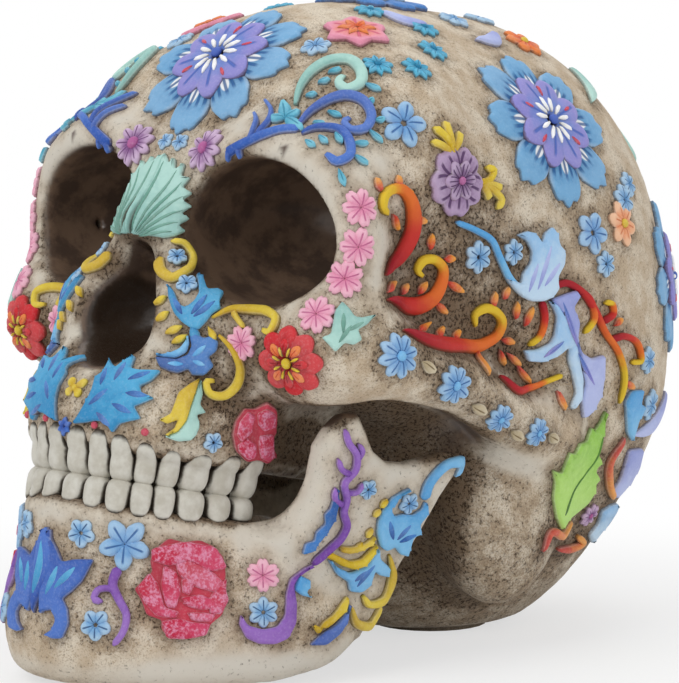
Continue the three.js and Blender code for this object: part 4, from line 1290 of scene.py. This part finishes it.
# Chin sides
CHIN_STARS = [((82, 533), 3.4), ((96, 625), 3.6)]
CHIN_SCROLL = [(119, 567), (113, 584), (119, 600), (126, 615), (123, 631), (113, 645)]
CHIN_TWIG = [(118, 594), (110, 589), (98, 591), (95, 600), (103, 602)]
JAW_FLOWER = (125, 544)
chin_side = Relief("jaw")
chin_side.flower(JAW_FLOWER, 6.0, 5, "periwinkle", "round", -95, inner=0.02, fill=0.8, rise=1.3)
for spot, radius in CHIN_STARS:
    chin_side.flower(spot, radius, 5, "star", rise=1.1)
chin_side.vine(CHIN_SCROLL, 2.4, "iris", 1.4)
chin_side.vine(CHIN_TWIG, 1.6, "iris", 1.6)
ornament("chin_flowers", chin_side, "sky_blue", ["jaw_flower"])

# Jaw rose: broad dusted petals on a red ground
ROSE = [
    (168, 538), (183, 542), (199, 540), (214, 547), (223, 558), (225, 575), (223, 591), (227, 600),
    (221, 615), (210, 624), (205, 635), (194, 638), (168, 639), (161, 628), (161, 620), (146, 615),
    (141, 600), (134, 589), (146, 578), (152, 571), (150, 560), (155, 549),
]
ROSE_PETALS = [
    [(151, 548), (183, 541), (214, 547), (226, 568), (207, 572), (188, 561), (167, 566), (151, 560)],
    [(174, 562), (189, 560), (212, 573), (222, 583), (214, 593), (194, 587), (177, 575)],
    [(163, 564), (176, 572), (180, 591), (175, 608), (166, 607), (160, 586)],
    [(137, 587), (149, 572), (158, 583), (164, 607), (178, 611), (175, 618), (155, 616), (143, 602)],
    [(179, 597), (199, 594), (212, 600), (214, 608), (199, 610), (183, 605)],
    [(160, 621), (176, 617), (191, 622), (209, 623), (205, 635), (185, 639), (166, 638)],
    [(214, 587), (225, 578), (224, 590), (227, 600), (219, 614), (208, 614), (206, 600)],
    [(180, 578), (188, 576), (193, 585), (188, 595), (181, 592)],
    [(185, 612), (200, 612), (214, 614), (209, 622), (191, 621)],
]
rose = Relief("jaw")
rose.plate(ROSE, "rose", 1.5)
for petal in ROSE_PETALS:
    rose.plate(petal, "rose_petal", 1.3, 1.0)
ornament("jaw_rose", rose, "rose", ["jaw_rose"])

# Jaw hook, with a pink and a star beside it
HOOK = [
    (312, 563), (302, 568), (289, 578), (285, 593), (284, 615), (276, 626), (262, 629), (247, 625),
    (240, 614), (238, 624), (245, 638), (258, 644), (274, 644), (287, 638), (295, 622), (295, 602),
    (292, 584), (298, 574),
]
HOOK_COMMA = [
    (297, 574), (306, 578), (307, 586), (304, 591), (309, 597), (300, 595), (292, 589), (294, 580),
]
HOOK_PINK = (263, 575)
HOOK_STAR = (263, 612)
hook = Relief("jaw")
hook.plate(HOOK, "iris", 1.7)
hook.plate(HOOK_COMMA, "sky_leaf", 1.9)
hook.flower(HOOK_PINK, 4.0, 6, "pink", "heart", inner=0.02, rise=1.2)
hook.flower(HOOK_STAR, 3.6, 6, "star", rise=1.1)
ornament("jaw_hook", hook, "iris", ["jaw_hook"])

# Purple branch up the jaw's blade
BRANCH = [(311, 564), (327, 549), (340, 536), (345, 525), (342, 510), (345, 498), (343, 482), (354, 468),
          (355, 454), (347, 441), (344, 429)]
BRANCH_TWIGS = [
    [(354, 460), (360, 450), (357, 443)],
    [(344, 492), (356, 490), (361, 482)],
    [(342, 505), (333, 497), (334, 487)],
    [(350, 474), (340, 468), (337, 458)],
]
BRANCH_LEAVES = {
    "cobalt": [
        (336, 486), (338, 500), (334, 518), (325, 533), (316, 543), (312, 551), (301, 554), (304, 543),
        (313, 540), (315, 531), (324, 523), (323, 514), (329, 507), (332, 496),
    ],
    "yellow": [
        (315, 632), (321, 622), (332, 614), (345, 595), (347, 601), (343, 612), (330, 625), (318, 630),
        (311, 625),
    ],
    "royal": [
        (308, 645), (320, 633), (334, 624), (343, 613), (347, 602), (346, 620), (338, 634), (325, 645),
    ],
}
BRANCH_STARS = [((367, 489), 2.5), ((408, 503), 2.7)]
branch = Relief("jaw")
branch.vine(BRANCH, 2.2, "iris", 1.6)
for twig in BRANCH_TWIGS:
    branch.vine(twig, 1.6, "iris", 1.2)
for paint, leaf in BRANCH_LEAVES.items():
    branch.plate(leaf, paint)
for spot, radius in BRANCH_STARS:
    branch.flower(spot, radius, 5, "star", rise=1.0)
ornament("jaw_branch", branch, "iris", ["jaw_branch"])

# Blue sprays and yellow scrolls over the jaw's side
SPRAY = [
    (409, 487), (399, 495), (389, 508), (393, 515), (401, 513), (411, 514), (420, 508), (423, 501),
    (426, 502), (425, 514), (418, 523), (419, 531), (411, 537), (408, 546), (405, 555), (398, 553),
    (393, 546), (385, 550), (378, 545), (375, 532), (376, 521), (380, 510), (390, 497), (402, 490),
]
SPRAY_CURL = [(423, 499), (427, 484), (437, 471), (450, 463), (461, 465), (462, 474), (455, 477)]
SPRAY_STROKES = [(390, 538, 386, 518), (393, 538, 408, 522), (395, 540, 413, 532)]
LOW_SPRAY = [
    (326, 558), (337, 567), (348, 572), (364, 565), (372, 550), (377, 547), (379, 558), (389, 567),
    (386, 576), (377, 574), (373, 570), (368, 585), (359, 592), (348, 591), (346, 581), (335, 574),
]
LOW_STROKES = [(350, 580, 366, 568), (352, 586, 372, 562)]
YELLOW_CRESCENTS = [
    [
        (322, 555), (331, 560), (339, 565), (352, 569), (363, 565), (372, 554), (375, 542), (368, 549),
        (359, 558), (348, 560), (337, 555), (328, 550),
    ],
    [(338, 545), (350, 546), (364, 542), (373, 534), (372, 542), (362, 548), (348, 553), (339, 551)],
]
SPRAY_SCROLLS = [
    [(388, 554), (390, 576), (381, 598), (366, 603), (361, 595)],
    [(348, 605), (353, 621), (370, 622), (384, 606)],
]
SPRAY_DASHES = [(386, 498, 379, 507), (379, 508, 372, 516), (371, 527, 365, 537), (361, 541, 353, 552)]
spray = Relief("jaw")
spray.vine(SPRAY_CURL, 2.8, "sky_leaf", 2.0)
spray.plate(SPRAY, "sky_leaf", 1.6)
spray.strokes(SPRAY_STROKES, 1.5, "cobalt", 1.35)
spray.plate(LOW_SPRAY, "sky_leaf", 1.6)
spray.strokes(LOW_STROKES, 1.5, "cobalt", 1.35)
for crescent in YELLOW_CRESCENTS:
    spray.plate(crescent, "yellow", 1.8)
for scroll in SPRAY_SCROLLS:
    spray.scroll(scroll, 2.2, "yellow", CURL_SWELL)
spray.drops(SPRAY_DASHES, 1.7, "yellow", belly=0.5)
ornament("jaw_spray", spray, "sky_blue", ["jaw_spray"])

# Nape: a lime leaf with orange scrolls
LIME = [
    (604, 409), (601, 434), (596, 453), (600, 459), (593, 469), (598, 477), (592, 484), (593, 490),
    (585, 502), (574, 511), (566, 518), (559, 530), (554, 516), (551, 497), (553, 481), (551, 469),
    (560, 472), (564, 461), (568, 452), (573, 453), (578, 443), (584, 441), (589, 427), (593, 429),
    (598, 422),
]
LIME_GROOVE = [(560, 514), (568, 490), (579, 473), (592, 456), (599, 434)]
NAPE_SCROLLS = [
    [(541, 551), (546, 535), (560, 534), (569, 521)],
    [(556, 548), (568, 547), (580, 541), (576, 535)],
    [(623, 437), (609, 458), (607, 480), (611, 497)],
]
NAPE_LEAVES = {
    "sky_leaf": [
        (629, 390), (641, 389), (638, 403), (643, 406), (636, 419), (630, 441), (625, 432), (624, 412),
        (623, 401),
    ],
    "lavender": [
        (627, 449), (641, 447), (636, 468), (623, 487), (614, 497), (609, 492), (618, 479), (623, 463),
    ],
    "tulip_blue": [
        (609, 504), (616, 502), (614, 516), (603, 525), (589, 542), (587, 534), (596, 523), (600, 510),
    ],
}
NAPE_DAISY = (588, 514)
nape = Relief("skull")
nape.plate(LIME, "lime", 1.5)
nape.vine(LIME_GROOVE, 0.9, "moss", 0.6, rise=0.45, lift=1.3)
for scroll in NAPE_SCROLLS:
    nape.scroll(scroll, 2.1, "ember", CURL_SWELL)
for paint, leaf in NAPE_LEAVES.items():
    nape.plate(leaf, paint)
nape.flower(NAPE_DAISY, 3.2, 8, "lilac", rise=1.1, hub="magenta")
ornament("nape_leaf", nape, "lime", ["nape_leaf"])

# Top and back of the head, which the photograph only hints at
BACK_STARS = [(135, 70), (165, 62), (128, 22), (172, 25), (160, -22), (136, -18), (171, -6)]
BACK_LEAVES = [
    ((140, 62), (118, 64), 4.5, "lavender"),
    ((158, 44), (140, 40), 4.5, "mint"),
    ((166, 36), (156, 24), 4.5, "mint"),
    ((170, -14), (158, -28), 5.0, "sky_leaf"),
    ((150, -16), (132, -24), 5.0, "lavender"),
    ((95, 70), (70, 76), 4.5, "lavender"),
]
back = Relief("skull")
for azimuth, elevation in BACK_STARS:
    back.flower(bearing(azimuth, elevation), 4.0, 6, "star", rise=1.2)
for root, tip, width, paint in BACK_LEAVES:
    back.leaf(bearing(*root), bearing(*tip), width, paint, bend=2.0)
back.flower(bearing(146, 56), 5.4, 6, "orange", fill=0.9, rise=1.2, hub="yellow")
ornament("back_flowers", back, "violet")

BACK_ROSETTES = [(84, 14, "cobalt"), (42, 11, "red"), (-24, 10, "purple")]
rosettes = Relief("skull")
for elevation, radius, paint in BACK_ROSETTES:
    spot = bearing(180, elevation)
    rosettes.flower(spot, radius, 8, paint, "heart", fill=1.0, rise=1.5)
    rosettes.flower(spot, radius * 0.6, 8, "periwinkle", turn=-67, fill=0.9, rise=1.2, lift=1.2, hub="yellow")
ornament("back_rosettes", rosettes, "royal_blue", (), False)

# Bone: an even skin on the form, with a wash and painted shade in its hollows and round the ornament
BONE_VOXEL = 1.15
HOLLOW_REACH = (3, 8, 16, 28)
EDGE_REACH = 6
SHARP_EDGE = 0.1, 0.4
NEAR_ORNAMENT = 0.2, 5
RIM_INNER = 1.2, 2.4
RIM_OUTER = 5, 8.5
HOLE_EDGE = 0.2, 1.8
NOSE_DARK = 1.5
SOFT_SHADE = 0.05, 0.6
DEEP_SHADE = 0.62, 0.85
BROW_HOLE = (284, 149)
BROW_HOLE_EDGE = 0.8, 1.6
TEMPLE_MIDDLE = (455, 290)
TEMPLE_REACH = 12, 34
BASE_LEVEL = 15, 62
POLISH_AND_HIGHLIGHT_LEVEL = 22, 44
# Wash weights: the hollow, near-ornament, temple and base terms paint shade into the wash
ALL_OVER_WASH, HOLLOW_WASH_AND_SHADE, NEAR_WASH_AND_SHADE, TEMPLE_SHADE, BASE_SHADE = 0.12, 1.1, 0.5, 0.45, 0.5
FULL_WASH_AND_SHADE = 1.2
RIM_POLISH_AND_HIGHLIGHT = 0.9
GRIT_SIZE = 0.1
GRIT_PITCH = 0.55
bone_paint = bone_finish()
bone_marks = Relief("skull").places([BROW_HOLE, TEMPLE_MIDDLE])


def ease(values, low, high):
    share = np.clip((values - low) / (high - low), 0, 1)
    return share * share * (3 - 2 * share)


def rim_distance(points, rims):
    tree = kdtree.KDTree(len(rims))
    for index, point in enumerate(rims):
        tree.insert(point, index)
    tree.balance()
    return np.array([tree.find(point)[2] for point in points])


def rough_blade(bm, hand):
    """A slab in the jaw's rising blade, which the even skin takes in."""
    made = bmesh.ops.create_circle(bm, cap_ends=True, segments=len(BLADE), radius=1)
    spots = [(hand * (BLADE_X + BLADE_FLARE * y + BLADE_RISE * z - BLADE_HALF), y, z) for y, z in BLADE]
    for vert, spot in zip(made["verts"], to_world(spots)):
        vert.co = spot
    faces = list({face for vert in made["verts"] for face in vert.link_faces})
    side = bmesh.ops.extrude_face_region(bm, geom=faces, use_keep_orig=True)["geom"]
    verts = [part for part in side if isinstance(part, bmesh.types.BMVert)]
    bmesh.ops.translate(bm, verts=verts, vec=(hand * 2 * BLADE_HALF * MM, 0, 0))


def bone_skin(name, node, bone):
    """An even mesh on the bone's form, and its points."""
    bm = bmesh.new()
    bm.from_mesh(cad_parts[node].data)
    bmesh.ops.remove_doubles(bm, verts=bm.verts, dist=1e-6)
    if bone == "jaw":
        rough_blade(bm, 1)
        rough_blade(bm, -1)
        bmesh.ops.recalc_face_normals(bm, faces=bm.faces)
    rough = show("rough_" + name, to_mesh(bm, "rough_" + name))
    skin = rough.modifiers.new("even_skin", "REMESH")
    skin.mode = "VOXEL"
    skin.voxel_size = BONE_VOXEL * MM
    skinned = rough.evaluated_get(bpy.context.evaluated_depsgraph_get())
    mesh = bpy.data.meshes.new_from_object(skinned)
    bpy.data.objects.remove(rough)
    mesh.name = name
    write_points(mesh, settle(FIELDS[bone], read_points(mesh) / MM - SHIFT, 5))
    bm = bmesh.new()
    bm.from_mesh(mesh)
    axes = {f"use_axis_{axis}": True for axis in "xyz"}
    for _ in range(3):
        bmesh.ops.smooth_vert(bm, verts=bm.verts, factor=0.5, **axes)
    bm.to_mesh(mesh)
    bm.free()
    return mesh, settle(FIELDS[bone], read_points(mesh), 1)


def bone_wear(bone, points, out):
    """Where the dark wash and painted shade lie, where holes are dark paint and deep hollows are painted
    shade, and where edges are rubbed pale, partly as a painted highlight.
    """
    field = FIELDS[bone]
    shade = sum(1 - np.clip(bone_field(points + out * reach) / reach, 0, 1) for reach in HOLLOW_REACH)
    shade = shade / len(HOLLOW_REACH)
    edge = ease((field(points - out * EDGE_REACH) + EDGE_REACH) / EDGE_REACH, *SHARP_EDGE)
    near = 1 - ease(rim_distance(points, np.concatenate(RIM_POINTS[bone])), *NEAR_ORNAMENT)
    from_socket = socket_field(points)
    from_hole = np.minimum(from_socket, nose_field(points) + 0.6)
    edge = np.maximum(edge, RIM_POLISH_AND_HIGHLIGHT * ease(from_hole, *RIM_INNER) * (1 - ease(from_hole, *RIM_OUTER)))
    # Rubbed pale edges and rims with a painted highlight, kept out of shade and away from the ornament
    polish_and_highlight = np.clip(edge * (1 - 0.7 * near) - 0.7 * shade, 0, 1)
    socket = 1 - ease(from_socket, *HOLE_EDGE)
    nose_hole = NOSE_DARK * (1 - ease(nose_field(points), *HOLE_EDGE))
    near_brow, near_temple = [np.linalg.norm(left_half(points) - mark, axis=-1) for mark in bone_marks]
    brow_hole = 1 - ease(near_brow, *BROW_HOLE_EDGE)
    # Dark paint in the sockets and nose, painted shade in deep hollows, and a painted dark dot for the small
    # hole above the brow
    hollow_and_shade = np.max([socket, nose_hole, ease(shade, *DEEP_SHADE), brow_hole], axis=0)
    # An even wash, with painted shade added in hollows and round the ornament
    wash_and_shade = ALL_OVER_WASH + HOLLOW_WASH_AND_SHADE * ease(shade, *SOFT_SHADE) + NEAR_WASH_AND_SHADE * near
    # Painted shade round the temple hollow
    wash_and_shade = wash_and_shade + TEMPLE_SHADE * (1 - ease(near_temple, *TEMPLE_REACH))
    if bone == "skull":
        # Painted shade, darker towards the bottom of the skull
        wash_and_shade += BASE_SHADE * (1 - ease(points[:, 2], *BASE_LEVEL))
        # The painted highlight fades out low on the skull
        polish_and_highlight *= ease(points[:, 2], *POLISH_AND_HIGHLIGHT_LEVEL)
    wash_and_shade = np.clip(wash_and_shade, 0, FULL_WASH_AND_SHADE) * (1 - 0.8 * polish_and_highlight)
    return {"wash_and_shade": wash_and_shade, "hollow_and_shade": hollow_and_shade, "polish_and_highlight": polish_and_highlight}


def bone_piece(name, node, bone):
    mesh, points = bone_skin(name, node, bone)
    out = unit(lean(FIELDS[bone], points))
    for key, values in bone_wear(bone, points, out).items():
        write_values(mesh, key, values)
    grit = np.array([noise.noise(Vector(point) * GRIT_PITCH) for point in points])
    write_points(mesh, to_world(points + out * (grit * GRIT_SIZE)[:, None]))
    mesh.materials.clear()
    mesh.materials.append(bone_paint)
    smooth_shade(mesh)
    piece = show(name, mesh)
    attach(piece, "root")
    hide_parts(node)


# Teeth: rounded crowns set along the bite
TOOTH_WIDTHS = [7, 6, 6.2, 5.6, 5.6, 7.6, 7.2, 6.6]
TOOTH_HALF_WIDTH = 28.5
TOOTH_DEEP = 41
TOOTH_FRONT = 22
CROWN_DEPTH = 8
UPPER_CROWN = 11.2
LOWER_CROWN = 8.2
CROWN_LIP = 1.0
CROWN_TAPER = 0.26
SIDE_STAIN_AND_SHADE = 0.66, 0.96
ROOT_STAIN_AND_SHADE = 0.42, 0.95
SHADE_BACKING_DEPTH = 2.2
SHADE_BACKING_WIDTH = 1.4
TOOTH_LAP = 0.99
TOOTH_SQUARE = 0.33
BITE_LAP = 0.5
BITE_POWER = 0.8
BITE_TURN = np.array(Matrix.Rotation(math.radians(12), 3, "X"))
tooth_paint = tooth_finish()


def bite_point(share):
    """A place on the front face of the teeth, by its share of the way round to the back."""
    turn = share * math.pi / 2
    side = TOOTH_HALF_WIDTH * np.sin(turn) ** BITE_POWER
    back = TOOTH_DEEP - TOOTH_FRONT - TOOTH_DEEP * np.cos(turn) ** BITE_POWER
    return np.array([side, back])


def tooth_seats():
    """Middle and direction of each crown on one side, walked along the bite."""
    shares = np.linspace(0, 1, 2000)
    path = np.array([bite_point(share) for share in shares])
    walked = np.concatenate([[0], np.cumsum(np.linalg.norm(np.diff(path, axis=0), axis=1))])
    seats = []
    start = 0
    for width in TOOTH_WIDTHS:
        spots = [start, start + width / 2, start + width]
        ends = [np.array([np.interp(s, walked, path[:, 0]), np.interp(s, walked, path[:, 1])]) for s in spots]
        seats.append((ends[1], unit(ends[2] - ends[0]), width))
        start += width
    return seats


@functools.cache
def crown_form():
    """A rounded block, two units on each side."""
    bm = bmesh.new()
    bmesh.ops.create_cube(bm, size=2)
    bmesh.ops.subdivide_edges(bm, edges=bm.edges, cuts=7, use_grid_fill=True)
    mesh = to_mesh(bm, "crown_form")
    points = read_points(mesh)
    power = 1 / TOOTH_SQUARE
    length = (np.abs(points) ** power).sum(-1) ** TOOTH_SQUARE
    return mesh, points / length[:, None]


def teeth(name, node, height, upward, bone):
    """A row of crowns that lap onto the gum, each with a dark backing behind it as painted shade."""
    form, block = crown_form()
    bm = bmesh.new()
    points, stains_and_shades = [], []
    share = (block[:, 2] + 1) / 2
    taper = 1 - CROWN_TAPER * share ** 3
    # Brown stain and painted shade towards a crown's sides and root
    stain_and_shade = np.maximum(ease(np.abs(block[:, 0]), *SIDE_STAIN_AND_SHADE), ease(block[:, 2], *ROOT_STAIN_AND_SHADE))
    crown_block = TOOTH_LAP, 0, height, stain_and_shade
    # The dark backing is painted shade showing in the gaps behind the crowns
    shade_backing_block = SHADE_BACKING_WIDTH, SHADE_BACKING_DEPTH, height + 1, np.ones(len(stain_and_shade))
    for middle, run, width in tooth_seats():
        inward = np.array([-run[1], run[0]])
        for wide, start, tall, dark in (crown_block, shade_backing_block):
            across = block[:, :1] * width / 2 * wide * taper[:, None]
            flat = middle + run * across + inward * (start + (block[:, 1:2] + 1) * CROWN_DEPTH / 2)
            rise = (share * (tall + BITE_LAP) - BITE_LAP) * upward
            crown = np.column_stack([flat, rise]) @ BITE_TURN + [0, BITE_Y, BITE_Z]
            if start == 0:
                gap = CROWN_LIP * (1 - share ** 4) - FIELDS[bone](crown)
                lap = np.where(block[:, 1] < 0.3, np.clip(gap, 0, 4) * (share > 0.3), 0)
                crown = crown + unit(lean(FIELDS[bone], crown, 2)) * lap[:, None]
            for mirrored in (1, -1):
                bm.from_mesh(form)
                points.append(crown * [mirrored, 1, 1])
                RIM_POINTS[bone].append(points[-1][share > 0.9])
                stains_and_shades.append(dark)
    mesh = to_mesh(bm, name)
    write_points(mesh, to_world(np.concatenate(points)))
    write_values(mesh, "stain_and_shade", np.concatenate(stains_and_shades))
    bm = bmesh.new()
    bm.from_mesh(mesh)
    bmesh.ops.recalc_face_normals(bm, faces=bm.faces)
    bm.to_mesh(mesh)
    bm.free()
    mesh.materials.append(tooth_paint)
    smooth_shade(mesh)
    piece = show(name, mesh)
    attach(piece, "root")
    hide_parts(node)


teeth("upper_crowns", "upper_teeth", UPPER_CROWN, 1, "skull")
teeth("lower_crowns", "lower_teeth", LOWER_CROWN, -1, "jaw")
bone_piece("skull_bone", "skull_casting", "skull")
bone_piece("jaw_bone", "jaw_casting", "jaw")

# Felt feet keep their solids
felt_paint = felt_finish()
for node in ("skull_felt", "jaw_felt_left", "jaw_felt_right"):
    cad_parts[node].data.materials.clear()
    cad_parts[node].data.materials.append(felt_paint)

# Floor, light and camera: lamps by metres right, up and back of the skull, size and power
FLOOR_SIZE = 4
FLOOR_TONE = (0.92, 0.92, 0.92, 1)
FLOOR_ROUGHNESS = 0.95
FLOOR_GLOW = 0.64
GLOW_START, GLOW_FULL = 0.08, 0.22
SKY_LIGHT = 0.45
LAMPS = [
    ("key", -0.55, 0.65, 0.75, 0.7, 4.9),
    ("fill", 0.85, 0.2, 0.6, 0.7, 2.2),
    ("top", 0.1, 1.0, -0.2, 0.8, 3.2),
]

bm = bmesh.new()
bmesh.ops.create_grid(bm, x_segments=1, y_segments=1, size=FLOOR_SIZE)
floor = show("floor", to_mesh(bm, "floor"))
ground = Finish("pale_floor")
ground.feed(ground.shader.inputs["Base Color"], FLOOR_TONE)
ground.feed(ground.shader.inputs["Roughness"], FLOOR_ROUGHNESS)
away = ground.node("ShaderNodeVectorMath", {"operation": "LENGTH"}, {0: ground.place}, "Value")
glow = ground.node("ShaderNodeEmission", {}, {"Color": WHITE, "Strength": 1})
glowing = (FLOOR_GLOW + (1 - FLOOR_GLOW) * ground.ramp(away, GLOW_START, GLOW_FULL)) * ground.seen()
layers = {0: glowing, 1: Wire(ground, ground.shader.outputs["BSDF"]), 2: glow}
surface = ground.tree.nodes["Material Output"].inputs["Surface"]
ground.feed(surface, ground.node("ShaderNodeMixShader", {}, layers))
floor.data.materials.append(ground.material)


def aim_at(thing, place, target):
    turn = (target - place).to_track_quat("-Z", "Y").to_matrix().to_4x4()
    thing.matrix_world = Matrix.Translation(place) @ turn


aim = Vector(to_world(AIM))
for name, right, up, back, size, power in LAMPS:
    data = bpy.data.lights.new(name, "AREA")
    data.size = size
    data.energy = power
    lamp = bpy.data.objects.new(name, data)
    bpy.context.collection.objects.link(lamp)
    aim_at(lamp, aim + Vector(RIGHT * right + UP * up + BACK * back), aim)

world = bpy.data.worlds.new("studio")
world.use_nodes = True
bpy.context.scene.world = world
sky = Sheet(world.node_tree)
background = sky.tree.nodes["Background"]
background.inputs["Color"].default_value = WHITE
sky.feed(background.inputs["Strength"], SKY_LIGHT + (1 - SKY_LIGHT) * sky.seen())

camera_data = bpy.data.cameras.new("camera")
camera_data.sensor_width = SENSOR
camera_data.lens = FOCAL_PIXELS / max(PHOTO_SIZE) * SENSOR
camera = bpy.data.objects.new("camera", camera_data)
bpy.context.collection.objects.link(camera)
camera.matrix_world = Matrix.Translation(to_world(EYE)) @ Matrix((RIGHT, UP, BACK)).transposed().to_4x4()
bpy.context.scene.camera = camera
bpy.context.scene.view_settings.view_transform = "Standard"

bpy.context.view_layer.update()
